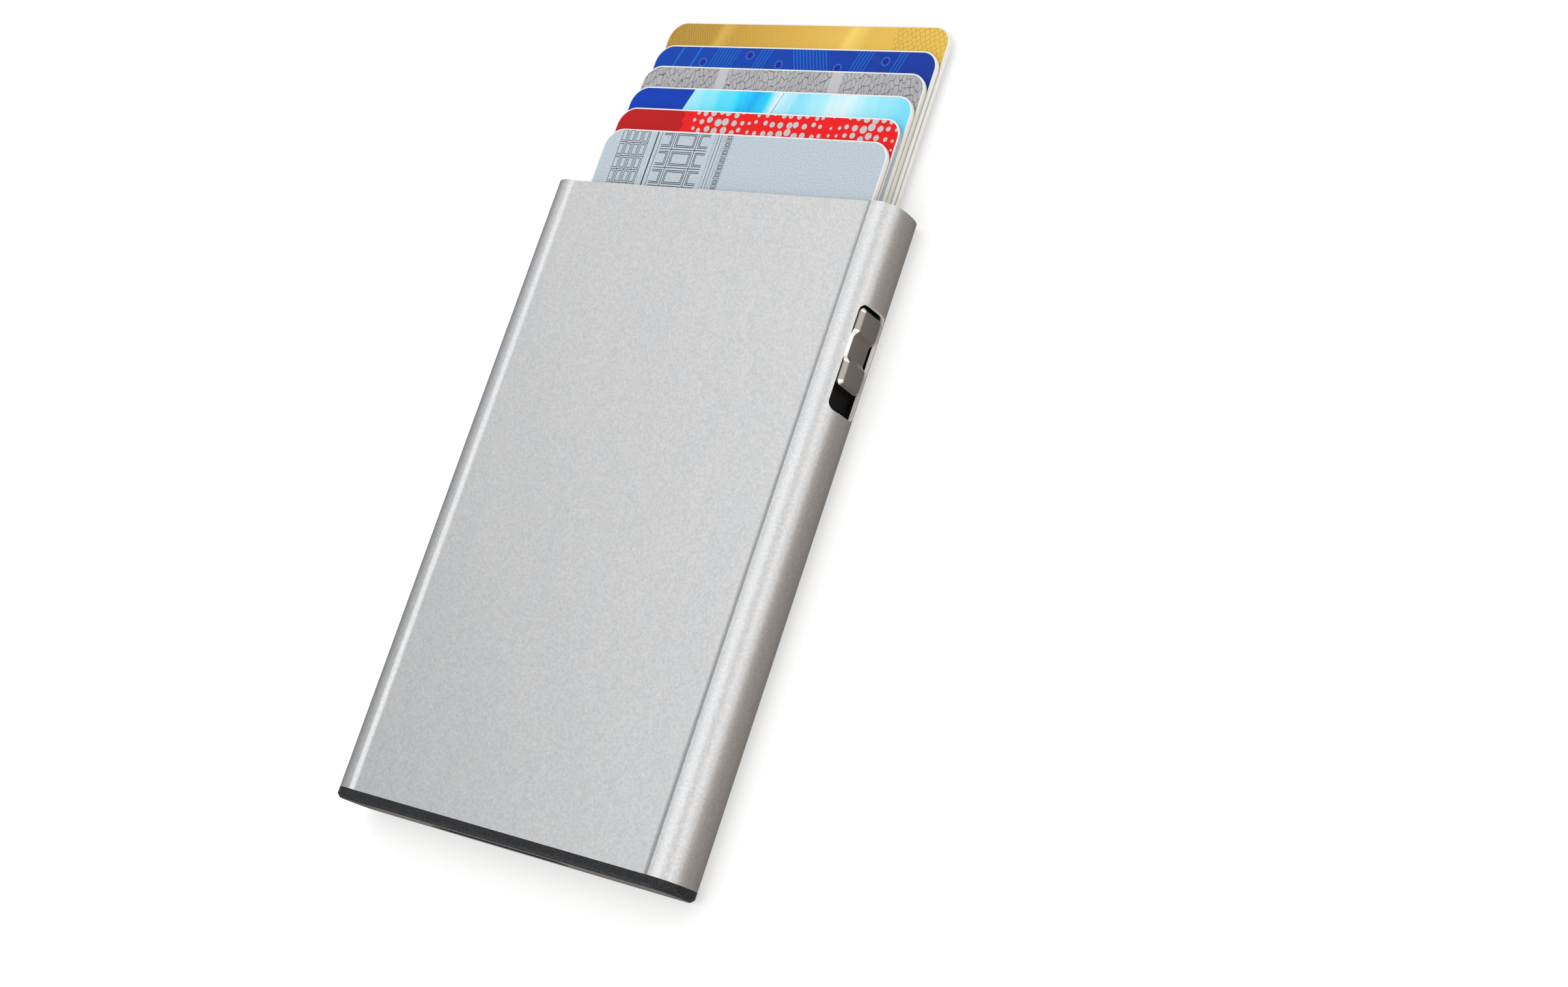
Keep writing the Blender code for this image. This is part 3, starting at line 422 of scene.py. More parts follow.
def make_cap():
    """The black end cap: a flange with the sleeve's outline, a hollow plug and a recess below."""
    cap = section_block("end_cap", CAP_LOW.y, FLANGE_TOP)
    pick(cap, "FACE", lambda f: lies_at(f, 1, FLANGE_TOP))
    bpy.ops.mesh.inset(thickness=PLUG_INSET, use_even_offset=True)
    plug = CAP_HIGH.y - FLANGE_TOP
    bpy.ops.mesh.extrude_region_move(TRANSFORM_OT_translate={"value": (0, plug, 0)})
    bpy.ops.mesh.inset(thickness=PLUG_WALL, use_even_offset=True)
    bpy.ops.mesh.extrude_region_move(TRANSFORM_OT_translate={"value": (0, -plug, 0)})
    pick(cap, "EDGE", lambda e: lies_at(e, 1, CAP_LOW.y))
    round_edges(CAP_BEVEL, 1)
    sink_panel(cap, CAP_RAMP_STEPS, CAP_BEVEL)
    close_up(cap)
    carve(cap, recess_tool())
    break_edges(cap, CAP_EDGE, CAP_EDGE_ANGLE, CAP_EDGE_SEGMENTS)
    # The bottom faces get a brownish grey, a painted sheen for the reflection that black plastic shows
    # at a grazing angle.
    for face in cap.data.polygons:
        if face.normal.y < -END_FACING:
            face.material_index = 1
    return place_piece(cap, "case", "black_plastic", "base_cap")


def recess_tool():
    middle_z = (CASE_LOW.z + CASE_HIGH.z) / 2
    low = (RECESS_SHIFT - RECESS_LENGTH / 2, CAP_LOW.y - RECESS_DEPTH, middle_z - RECESS_WIDTH / 2)
    high = (RECESS_SHIFT + RECESS_LENGTH / 2, CAP_LOW.y + RECESS_DEPTH, middle_z + RECESS_WIDTH / 2)
    tool = start_box("recess_tool", low, high)
    pick(tool, "EDGE", lambda e: runs_along(e, 1))
    round_edges(RECESS_CORNER, CORNER_SEGMENTS)
    close_up(tool)
    return tool


def make_button():
    """A bar with a chamfered rim and a thumb hollow between two soft ramps."""
    button = start_box("slide_button", BUTTON_LOW, BUTTON_HIGH)
    face = BUTTON_HIGH.x
    pick(button, "EDGE", lambda e: runs_along(e, 0))
    round_edges(BUTTON_CORNER, CORNER_SEGMENTS)
    pick(button, "EDGE", lambda e: lies_at(e, 0, face))
    round_edges(BUTTON_CHAMFER, 1)
    middle = (BUTTON_LOW.y + BUTTON_HIGH.y) / 2
    floor = HOLLOW_FLOOR / 2
    shares = [i / HOLLOW_STEPS for i in range(HOLLOW_STEPS + 1)]
    depths = {}
    for share in shares:
        away = floor + HOLLOW_RAMP * (1 - share)
        depth = HOLLOW_DEPTH * (1 - math.cos(math.pi * share)) / 2
        for place in (middle + away, middle - away):
            bpy.ops.mesh.select_all(action="SELECT")
            slice_at(1, place)
            depths[place] = depth
    above = face - BUTTON_CHAMFER - NEAR
    for place, depth in depths.items():
        shift_points(button, lambda v: abs(v.co.y - place) < NEAR and v.co.x > above, (-depth, 0, 0))
    close_up(button)
    break_edges(button, BUTTON_EDGE, BUTTON_EDGE_ANGLE)
    # The bright faces get the second finish: bright cut metal, which on the front corners is a painted
    # highlight.
    for polygon in button.data.polygons:
        if is_bright_cut_and_highlight_face(polygon, middle):
            polygon.material_index = 1
    return place_piece(button, "button", "button_metal", "release_button")


def is_bright_cut_and_highlight_face(face, middle):
    """Whether a face is a chamfer beside the hollow, cut bright, or a corner's chamfer that faces the
    front, where the bright metal is a painted highlight.
    """
    away = abs(face.center.y - middle)
    ramp_end = HOLLOW_FLOOR / 2 + HOLLOW_RAMP
    if away < ramp_end:
        return face.normal.x > 0.2 and abs(face.normal.z) > 0.25
    # Corner chamfers are picked only where they face the front: their bright metal is a painted
    # highlight.
    return 0.3 < face.normal.x < 0.9 and face.normal.z > 0.1 and abs(face.normal.y) > 0.12


def make_card(number):
    """A laminated card: a printed front, a back with a stripe, and a fine white edge round each."""
    node = f"card_{number}"
    card = start_box(f"card_{number}_sheet", *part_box(node))
    pick(card, "EDGE", lambda e: runs_along(e, 2))
    round_edges(CARD_CORNER, CARD_SEGMENTS)
    low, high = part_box(node)
    pick(card, "EDGE", lambda e: lies_at(e, 2, low.z) or lies_at(e, 2, high.z))
    round_edges(CARD_EDGE, 2)
    for height in (low.z, high.z):
        pick(card, "FACE", lambda f: lies_at(f, 2, height))
        bpy.ops.mesh.inset(thickness=CARD_RIM, use_even_offset=True)
    close_up(card)
    even_shading(card)
    half = (high.x - low.x) * (high.y - low.y) / 2
    for face in card.data.polygons:
        if abs(face.normal.z) < 0.1:
            face.material_index = 2
        elif face.area < half:
            face.material_index = 1
        elif face.normal.z > 0:
            face.material_index = 0
        else:
            face.material_index = 3
    return place_piece(card, f"card_{number}_body", f"card_{number}_print", node)


def make_wire(name, points, width):
    """A round wire through these points, with closed ends."""
    curve = bpy.data.curves.new(name, "CURVE")
    curve.dimensions = "3D"
    curve.bevel_depth = width / 2
    curve.bevel_resolution = 4
    curve.use_fill_caps = True
    spline = curve.splines.new("POLY")
    spline.points.add(len(points) - 1)
    for point, place in zip(spline.points, points):
        point.co = (*place, 1)
    wire = bpy.data.objects.new(name, curve)
    bpy.context.scene.collection.objects.link(wire)
    only(wire)
    bpy.ops.object.convert(target="MESH")
    wire = bpy.context.object
    bpy.ops.object.mode_set(mode="EDIT")
    bpy.ops.mesh.select_all(action="SELECT")
    bpy.ops.mesh.remove_doubles(threshold=NEAR)
    close_up(wire, WIRE_SMOOTH)
    return wire


def arc_places(middle, radius, start, turn, steps):
    """Places along an arc about an upright axis, both ends included."""
    angles = [start + turn * i / steps for i in range(steps + 1)]
    return [(middle[0] + radius * math.cos(a), middle[1] + radius * math.sin(a)) for a in angles]


def make_ejector_spring():
    """A torsion coil: its rear leg turns with the arm and its front leg stays in the chassis."""
    low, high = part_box("pivot_pin")
    pivot = ((low.x + high.x) / 2, (low.y + high.y) / 2)
    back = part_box("ejector_spring")[0].z + COIL_WIRE / 2
    sweep = 2 * math.pi * COIL_TURNS + COIL_EXTRA
    rise = COIL_PITCH * sweep / (2 * math.pi)
    steps = COIL_STEPS * COIL_TURNS
    places = arc_places(pivot, COIL_RADIUS, math.pi + COIL_EXTRA, sweep, steps)
    coil = [Vector((x, y, back + rise * i / steps)) for i, (x, y) in enumerate(places)]
    rear = Vector((-math.cos(COIL_EXTRA), math.sin(COIL_EXTRA), 0))
    front = Vector((1, 0, 0))
    points = [coil[0] + rear * COIL_LEG] + coil + [coil[-1] + front * COIL_LEG]
    spring = make_wire("torsion_spring", round_bends(points, COIL_BEND), COIL_WIRE)
    return bend_piece(spring, "ejector_spring")


def round_bends(points, reach):
    """The same way with its two outer corners cut by short curves."""
    first = curve_past(points[0], points[1], points[2], reach)
    last = curve_past(points[-1], points[-2], points[-3], reach)
    return [points[0]] + first + points[2:-2] + last[::-1] + [points[-1]]


def curve_past(before, corner, after, reach):
    """A short curve that leaves one line before its corner and meets the next after it."""
    start = corner + (before - corner).normalized() * reach
    end = corner + (after - corner) * 0.5
    shares = [i / BEND_STEPS for i in range(BEND_STEPS + 1)]
    return [start.lerp(corner, s).lerp(corner.lerp(end, s), s) for s in shares]


def make_button_spring():
    """A compression spring with closed ends, which shortens as the button comes down."""
    low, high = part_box("button_spring")
    middle_x = (low.x + high.x) / 2
    middle_z = (low.z + high.z) / 2
    first = low.y + RETURN_WIRE / 2
    last = high.y - RETURN_WIRE / 2
    radius = (high.x - low.x - RETURN_WIRE) / 2
    steps = RETURN_TURNS * RETURN_STEPS
    points = []
    for i in range(steps + 1):
        angle = 2 * math.pi * i / RETURN_STEPS
        share = closed_end_share(i / RETURN_STEPS)
        x = middle_x + radius * math.cos(angle)
        z = middle_z + radius * math.sin(angle)
        points.append(Vector((x, first + (last - first) * share, z)))
    spring = make_wire("return_spring", points, RETURN_WIRE)
    place_piece(spring, "case", "steel", "button_spring")
    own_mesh(spring)
    return spring


def closed_end_share(turn):
    """How far up its axis the spring is after this many turns, when the end turns lie close."""
    closed = CLOSED_PITCH * RETURN_WIRE / RETURN_LENGTH
    open_turns = RETURN_TURNS - 2
    open_rise = (1 - 2 * closed) / open_turns
    if turn < 1:
        return closed * turn
    if turn > RETURN_TURNS - 1:
        return 1 - closed * (RETURN_TURNS - turn)
    return closed + open_rise * (turn - 1)


def make_latch_spring():
    """A bowed wire that the pawl's nose flattens against the sleeve's side."""
    low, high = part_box("latch_spring")
    middle_z = (low.z + high.z) / 2
    outer = high.x - LATCH_WIRE / 2
    bow = high.x - low.x - LATCH_WIRE
    shares = [i / LATCH_STEPS for i in range(LATCH_STEPS + 1)]
    length = high.y - low.y
    bowed = [outer - bow * math.sin(math.pi * s) for s in shares]
    points = [Vector((x, low.y + length * s, middle_z)) for x, s in zip(bowed, shares)]
    spring = make_wire("latch_wire", points, LATCH_WIRE)
    return bend_piece(spring, "latch_spring")


def make_release_rod():
    """A steel wire with a soft jog, from the carrier down to the latch's tail."""
    low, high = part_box("release_rod")
    width = high.z - low.z
    z = (low.z + high.z) / 2
    inner = low.x + width / 2
    outer = high.x - width / 2
    jog_top = low.y + ROD_TAIL + ROD_JOG_LENGTH
    jog_low = low.y + ROD_TAIL
    top = [Vector((inner, high.y, z)), Vector((inner, jog_top, z)), Vector((outer, jog_low, z))]
    lower = [Vector((inner, jog_top, z)), Vector((outer, jog_low, z)), Vector((outer, low.y, z))]
    upper_bend = curve_past(top[0], top[1], top[2], ROD_BEND)
    lower_bend = curve_past(lower[2], lower[1], lower[0], ROD_BEND)
    rod = make_wire("release_wire", [top[0]] + upper_bend + lower_bend[::-1] + [lower[2]], width)
    return place_piece(rod, "button", "steel", "release_rod")


def make_brake_leaf():
    """A thin steel strip with round ends, bowed towards the cards."""
    low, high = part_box("brake_spring")
    leaf = start_box("brake_leaf", low, (low.x + LEAF_THICKNESS, high.y, high.z))
    pick(leaf, "EDGE", lambda e: runs_along(e, 0))
    round_edges(LEAF_CORNER, 5)
    length = high.y - low.y
    for step in range(1, LEAF_STEPS):
        bpy.ops.mesh.select_all(action="SELECT")
        slice_at(1, low.y + length * step / LEAF_STEPS)
    bow = high.x - low.x - LEAF_THICKNESS
    rows = sorted({round(v.co.y / NEAR) for v in bmesh.from_edit_mesh(leaf.data).verts})
    for row in rows:
        share = (row * NEAR - low.y) / length
        move = (bow * math.sin(math.pi * share), 0, 0)
        shift_points(leaf, lambda v: round(v.co.y / NEAR) == row, move)
    close_up(leaf)
    even_shading(leaf)
    return place_piece(leaf, "case", "steel", "brake_spring")


def make_felt_strip():
    """A strip of dense felt with soft edges and an uneven nap."""
    strip = start_box("felt_strip", *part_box("brake_pad"))
    pick(strip, "EDGE", lambda e: runs_along(e, 0))
    round_edges(FELT_CORNER, 6)
    close_up(strip)
    apply_modifier(strip, "REMESH", mode="VOXEL", voxel_size=FELT_GRID)
    nap = bpy.data.textures.new("nap", "CLOUDS")
    nap.noise_scale = FELT_NAP
    apply_modifier(strip, "DISPLACE", texture=nap, strength=FELT_RISE, mid_level=1.0)
    apply_modifier(strip, "SMOOTH", factor=0.5, iterations=2)
    smooth_piece(strip, SMOOTH_ALL)
    return place_piece(strip, "case", "felt", "brake_pad")


def make_screw(number, node):
    """A small screw with a domed hexagon socket head and a threaded shank."""
    low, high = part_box(node)
    y = (low.y + high.y) / 2
    z = (low.z + high.z) / 2
    bpy.ops.object.select_all(action="DESELECT")
    radius = (high.z - low.z) / 2
    middle = (low.x + SCREW_HEAD / 2, y, z)
    lying = (0, 90 * DEG, 0)
    bpy.ops.mesh.primitive_cylinder_add(
        vertices=SCREW_SIDES, radius=radius, depth=SCREW_HEAD, location=middle, rotation=lying,
    )
    screw = bpy.context.object
    screw.name = f"button_screw_{number}"
    bpy.ops.object.transform_apply(location=True, rotation=True, scale=True)
    bpy.ops.object.mode_set(mode="EDIT")
    pick(screw, "FACE", lambda f: faces_way(f, 0, 1))
    bpy.ops.mesh.inset(thickness=radius - SCREW_SHANK, use_even_offset=True)
    turns = int((high.x - low.x - SCREW_HEAD) / SCREW_PITCH)
    rise = (high.x - low.x - SCREW_HEAD) / (2 * turns)
    for half_turn in range(2 * turns):
        bpy.ops.mesh.extrude_region_move(TRANSFORM_OT_translate={"value": (rise, 0, 0)})
        size = SCREW_ROOT_SHARE if half_turn % 2 == 0 else 1 / SCREW_ROOT_SHARE
        if half_turn == 2 * turns - 1:
            size = SCREW_ROOT_SHARE
        bpy.ops.transform.resize(value=(1, size, size), center_override=(high.x, y, z))
    pick(screw, "EDGE", lambda e: lies_at(e, 0, low.x))
    round_edges(SCREW_DOME, 4)
    close_up(screw, SCREW_SMOOTH)
    bpy.ops.object.select_all(action="DESELECT")
    bpy.ops.mesh.primitive_cylinder_add(
        vertices=6, radius=SCREW_SOCKET, depth=SCREW_HEAD, location=(low.x, y, z), rotation=lying,
    )
    carve(screw, bpy.context.object)
    smooth_piece(screw, SCREW_SMOOTH)
    return place_piece(screw, "button", "steel", node)


def make_finer(node, name, body, slot, edge):
    """An inner part with whole faces and broken edges in place of its faceted solid."""
    bpy.ops.object.select_all(action="DESELECT")
    piece = bpy.data.objects.new(name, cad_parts[node].data.copy())
    bpy.context.scene.collection.objects.link(piece)
    only(piece)
    bpy.ops.object.mode_set(mode="EDIT")
    bpy.ops.mesh.select_all(action="SELECT")
    bpy.ops.mesh.remove_doubles(threshold=NEAR)
    bpy.ops.mesh.dissolve_limited(angle_limit=FLAT_ANGLE)
    bpy.ops.object.mode_set(mode="OBJECT")
    break_edges(piece, edge, INNER_EDGE_ANGLE)
    return place_piece(piece, body, slot, node)


def add_node(tree, kind, values=None, **settings):
    """A shader node with its settings, and its inputs set or linked."""
    node = tree.nodes.new(kind)
    for name, value in settings.items():
        setattr(node, name, value)
    for name, value in (values or {}).items():
        socket = node.inputs[name]
        if isinstance(value, bpy.types.NodeSocket):
            tree.links.new(value, socket)
        else:
            socket.default_value = value
    return node


def maths(tree, operation, *values):
    return add_node(tree, "ShaderNodeMath", dict(enumerate(values)), operation=operation).outputs[0]


def mix(tree, factor, first, second, blend="MIX"):
    """Two colours mixed by a factor."""
    values = {0: factor, 6: first, 7: second}
    return add_node(tree, "ShaderNodeMix", values, data_type="RGBA", blend_type=blend).outputs[2]


def rescale(tree, value, low, high, first=0.0, last=1.0):
    """A value taken from one range to another and held at its ends."""
    values = {"Value": value, 1: low, 2: high, 3: first, 4: last}
    return add_node(tree, "ShaderNodeMapRange", values).outputs[0]


def noise(tree, place, scale, detail):
    values = {"Vector": place, "Scale": scale, "Detail": detail}
    return add_node(tree, "ShaderNodeTexNoise", values).outputs["Fac"]


def new_material(name, **values):
    """A material, its node tree, its shader and the coordinates of the object it is on."""
    material = bpy.data.materials.new(name)
    material.use_nodes = True
    tree = material.node_tree
    shader = tree.nodes["Principled BSDF"]
    for socket, value in values.items():
        shader.inputs[socket.replace("_", " ").title()].default_value = value
    place = add_node(tree, "ShaderNodeTexCoord").outputs["Object"]
    return material, tree, shader, place


def tint(tree, shader, factor, first, second, blend="MIX"):
    """Colours the shader with two colours mixed by a factor."""
    tree.links.new(mix(tree, factor, first, second, blend), shader.inputs["Base Color"])


def vary_roughness(tree, shader, factor, change, least):
    """Makes the shader rougher, from this least value, where the factor is high."""
    tree.links.new(maths(tree, "MULTIPLY_ADD", factor, change, least), shader.inputs["Roughness"])


def roughen(tree, shader, height, distance):
    """Fine relief on the shader's normal."""
    values = {"Height": height, "Distance": distance, "Strength": 1.0}
    bump = add_node(tree, "ShaderNodeBump", values)
    tree.links.new(bump.outputs[0], shader.inputs["Normal"])


def blasted_aluminium():
    """Satin anodised aluminium with a fine blasted grain and faint cloudy patches."""
    material, tree, shader, place = new_material("blasted_aluminium", metallic=1.0)
    grain = noise(tree, place, BLAST_GRAIN, 3.0)
    cloud = noise(tree, place, BLAST_CLOUD, 2.0)
    streak = noise(tree, mapped(tree, place, (420, 75, 420)), 1.0, 2.0)
    clouds = maths(tree, "MULTIPLY_ADD", cloud, 0.5, -0.4)
    patches = maths(tree, "MULTIPLY_ADD", streak, 1.3, clouds)
    tone = mix(tree, patches, (0.611, 0.616, 0.630, 1), (0.652, 0.648, 0.642, 1))
    dark = mix(tree, grain, (0.76, 0.76, 0.76, 1), (1.22, 1.22, 1.22, 1))
    tint(tree, shader, 1.0, tone, dark, "MULTIPLY")
    vary_roughness(tree, shader, grain, 0.10, 0.30)
    roughen(tree, shader, grain, 0.010 * MM)
    return material


def milled_aluminium():
    """Bare sawn and milled metal, paler and duller than the blasted skin, with fine tool lines."""
    material, tree, shader, place = new_material("milled_aluminium", metallic=0.05, roughness=0.45)
    lines = noise(tree, mapped(tree, place, (1800, 1800, 9000)), 1.0, 1.0)
    tint(tree, shader, lines, (0.90, 0.87, 0.83, 1), (0.98, 0.96, 0.93, 1))
    return material


def button_aluminium():
    """The button's smoother, darker anodised metal."""
    material, tree, shader, place = new_material("button_aluminium", metallic=1.0)
    grain = noise(tree, place, BUTTON_GRAIN, 2.0)
    tint(tree, shader, grain, (0.345, 0.325, 0.305, 1), (0.39, 0.37, 0.35, 1))
    vary_roughness(tree, shader, grain, 0.05, 0.19)
    roughen(tree, shader, grain, 0.001 * MM)
    return material


def bright_cut_and_highlight():
    """Edges cut bright after the finish; on the button's corners that face the front the same bright
    metal is a painted highlight.
    """
    material, tree, shader, place = new_material("bright_cut_and_highlight", metallic=1.0)
    lines = noise(tree, mapped(tree, place, (3000, 400, 3000)), 1.0, 1.0)
    tint(tree, shader, lines, (0.84, 0.83, 0.81, 1), (0.92, 0.91, 0.90, 1))
    vary_roughness(tree, shader, lines, 0.1, 0.12)
    return material


def grained_plastic(name, colour, speckle_and_glint, scale, depth, roughness=0.5):
    """Black moulded plastic with an etched grain, and paler flecks at random in its colour, which on the
    cap are painted glints.
    """
    material, tree, shader, place = new_material(name, roughness=roughness)
    shader.inputs["Specular IOR Level"].default_value = PLASTIC_GLOSS
    grain = noise(tree, place, scale, 1.0)
    # Paler flecks at random; on the cap, where they are far paler than the ground, they are painted
    # glints.
    tint(tree, shader, rescale(tree, grain, 0.54, 0.74), colour, speckle_and_glint)
    roughen(tree, shader, grain, depth)
    return material


def smooth_steel():
    """Drawn spring steel with faint lines along the metal."""
    material, tree, shader, place = new_material("smooth_steel", metallic=1.0)
    lines = noise(tree, place, STEEL_GRAIN, 4.0)
    tint(tree, shader, lines, (0.46, 0.46, 0.47, 1), (0.62, 0.62, 0.62, 1))
    vary_roughness(tree, shader, lines, 0.2, 0.18)
    return material


def felt():
    """Dense dark felt with a short uneven pile."""
    material, tree, shader, place = new_material("felt", roughness=0.95)
    fibres = noise(tree, place, FELT_GRAIN, 4.0)
    tint(tree, shader, fibres, (0.02, 0.02, 0.02, 1), (0.09, 0.09, 0.09, 1))
    roughen(tree, shader, fibres, 0.08 * MM)
    return material


def card_plain(name, colour):
    """The bare sheet of a card, on its cut edge and round its print."""
    material, tree, shader, place = new_material(name, roughness=0.45)
    cloud = noise(tree, place, SHEET_GRAIN, 2.0)
    deeper = tuple(0.93 * c for c in colour[:3]) + (1,)
    tint(tree, shader, cloud, deeper, colour)
    return material


def mapped(tree, place, scale, move=(0, 0, 0), turn=0):
    """Coordinates scaled, turned about Z and moved."""
    values = {"Vector": place, "Scale": scale, "Rotation": (0, 0, turn), "Location": move}
    return add_node(tree, "ShaderNodeMapping", values).outputs[0]


def split_place(tree, place):
    outputs = add_node(tree, "ShaderNodeSeparateXYZ", {0: place}).outputs
    return outputs[0], outputs[1]


def either(tree, *masks):
    """One where any of the masks is one."""
    whole = masks[0]
    for mask in masks[1:]:
        whole = maths(tree, "MAXIMUM", whole, mask)
    return whole


def both(tree, *masks):
    """One where all of the masks are one."""
    whole = masks[0]
    for mask in masks[1:]:
        whole = maths(tree, "MULTIPLY", whole, mask)
    return whole


def within(tree, value, low, high):
    """One where the value lies between two limits."""
    return maths(tree, "COMPARE", value, (low + high) / 2, (high - low) / 2)


def ruled(tree, value, spacing, line):
    """Lines of one width that repeat at one spacing."""
    away = maths(tree, "PINGPONG", value, spacing / 2)
    return maths(tree, "LESS_THAN", away, line / 2)


def frames(tree, across, down, width, height, depths, line):
    """Rectangles in rows and columns, with thin frames at these depths inside each."""
    side = maths(tree, "PINGPONG", across, width / 2)
    top = maths(tree, "PINGPONG", down, height / 2)
    depth = maths(tree, "MINIMUM", side, top)
    return either(tree, *[within(tree, depth, d - line / 2, d + line / 2) for d in depths])


def slanted(tree, across, down, lean):
    """The place across, measured along lines that lean."""
    return maths(tree, "MULTIPLY_ADD", down, lean, across)


def column(tree, across, pattern, low, high):
    """A pattern kept between two places across."""
    return both(tree, pattern, within(tree, across, low, high))


def distance_from(tree, face, x, y):
    values = {0: face, 1: (x, y, 0)}
    return add_node(tree, "ShaderNodeVectorMath", values, operation="DISTANCE").outputs["Value"]


def ring(tree, face, x, y, low, high):
    """A round band about a point, between two radii."""
    return within(tree, distance_from(tree, face, x, y), low, high)


def cells(tree, place, scale, randomness, feature="F1"):
    """Distance from the middles of scattered cells."""
    values = {"Vector": place, "Scale": scale, "Randomness": randomness}
    settings = {"voronoi_dimensions": "2D", "feature": feature}
    return add_node(tree, "ShaderNodeTexVoronoi", values, **settings).outputs["Distance"]


def fade(tree, value, *stops):
    """A colour that runs through stops of place and colour, both ends held."""
    first, last = stops[0][0], stops[-1][0]
    node = add_node(tree, "ShaderNodeValToRGB", {"Fac": rescale(tree, value, first, last)})
    ramp = node.color_ramp.elements
    while len(ramp) < len(stops):
        ramp.new(0.5)
    for element, (place, colour) in zip(ramp, stops):
        element.position = (place - first) / (last - first)
        element.color = (*colour, 1)
    return node.outputs[0]


def silver_print(tree, face, across, down):
    """Silver blue with a fine sparkle, and thin ruled frames in columns on the left."""
    glint = rescale(tree, noise(tree, face, 5.5, 2.0), 0.3, 0.7)
    ground = mix(tree, glint, (0.36, 0.46, 0.56, 1), (0.66, 0.72, 0.74, 1))
    small = frames(tree, across, down, 1.45, 2.3, (0.0, 0.3), 0.11)
    small = column(tree, across, small, 3.0, 8.8)
    bars = either(tree, within(tree, across, 10.1, 10.35), within(tree, across, 11.0, 11.1))
    large = frames(tree, across, down, 4.6, 3.1, (0.0, 0.42, 0.68), 0.13)
    large = column(tree, across, large, 11.5, 20.7)
    rails = column(tree, across, ruled(tree, across, 0.6, 0.1), 21.6, 23.4)
    tiles = frames(tree, across, down, 1.25, 1.25, (0.0, 0.25, 0.42), 0.1)
    tiles = column(tree, across, tiles, 23.75, 25.0)
    drawing = either(tree, small, bars, large, rails, tiles)
    return mix(tree, maths(tree, "MULTIPLY", drawing, 0.95), ground, (0.02, 0.026, 0.036, 1))


def red_print(tree, face, across, down):
    """A dark red field, then bright red with pale dots that swell and shrink."""
    sizes = []
    for x, y, reach in ((20.5, 2.0, 6.5), (33.5, 5.0, 9.0), (48.0, 1.5, 6.0)):
        sizes.append(rescale(tree, distance_from(tree, face, x, y), 0.0, reach, 0.47, 0.14))
    spots = maths(tree, "LESS_THAN", cells(tree, face, 0.66, 0.4), either(tree, *sizes))
    edge = maths(tree, "MULTIPLY_ADD", noise(tree, face, 0.9, 1.0), 3.0, across)
    bright = maths(tree, "GREATER_THAN", edge, 14.5)
    ground = mix(tree, bright, (0.50, 0.008, 0.008, 1), (0.84, 0.010, 0.012, 1))
    dotted = both(tree, spots, maths(tree, "GREATER_THAN", edge, 16.5))
    return mix(tree, dotted, ground, (0.58, 0.57, 0.57, 1))


def sky_print(tree, face, across, down):
    """A navy field with a slanted edge, then sky blues with soft upright streaks."""
    streaks = noise(tree, mapped(tree, face, (1.0, 0.12, 1), turn=-0.3), 0.55, 3.0)
    place = slanted(tree, across, down, 0.36)
    wavering = maths(tree, "MULTIPLY_ADD", streaks, 7.0, maths(tree, "SUBTRACT", place, 3.5))
    pale, sky, deep = (0.42, 0.86, 0.97), (0.03, 0.70, 0.97), (0.01, 0.42, 0.90)
    blues = fade(
        tree, wavering, (12, pale), (17, (0.20, 0.79, 0.97)), (22, sky), (25, deep), (28, sky),
        (30, (0.60, 0.90, 0.97)), (33, (0.26, 0.77, 0.96)), (38, pale), (42, (0.74, 0.94, 0.97)),
        (46, pale), (54, (0.20, 0.74, 0.96)),
    )
    navy = maths(tree, "LESS_THAN", place, 12.5)
    line = within(tree, place, 29.4, 29.75)
    shade = within(tree, place, 29.75, 29.9)
    colour = mix(tree, navy, blues, (0.001, 0.047, 0.46, 1))
    colour = mix(tree, line, colour, (0.92, 0.95, 0.96, 1))
    return mix(tree, shade, colour, (0.12, 0.32, 0.46, 1))


def loop_print(tree, face, across, down):
    """Grey with thin wavy loops and two plain lighter bands."""
    values = {"Vector": face, "Scale": 0.35, "Detail": 1.0}
    bend = add_node(tree, "ShaderNodeTexNoise", values).outputs["Color"]
    values = {0: bend, 1: (2.2, 2.2, 0), 2: face}
    wavy = add_node(tree, "ShaderNodeVectorMath", values, operation="MULTIPLY_ADD").outputs[0]
    long_cells = mapped(tree, wavy, (1.0, 0.42, 1), turn=0.35)
    edges = cells(tree, long_cells, 1.45, 0.6, "DISTANCE_TO_EDGE")
    loops = maths(tree, "LESS_THAN", edges, 0.05)
    bands = either(tree, within(tree, across, 14.8, 16.6), within(tree, across, 36.6, 38.6))
    drawn = both(tree, loops, maths(tree, "SUBTRACT", 1.0, bands))
    ground = mix(tree, noise(tree, face, 0.2, 0.0), (0.40, 0.395, 0.41, 1), (0.50, 0.495, 0.515, 1))
    ground = mix(tree, bands, ground, (0.55, 0.55, 0.565, 1))
    return mix(tree, drawn, ground, (0.15, 0.147, 0.155, 1))


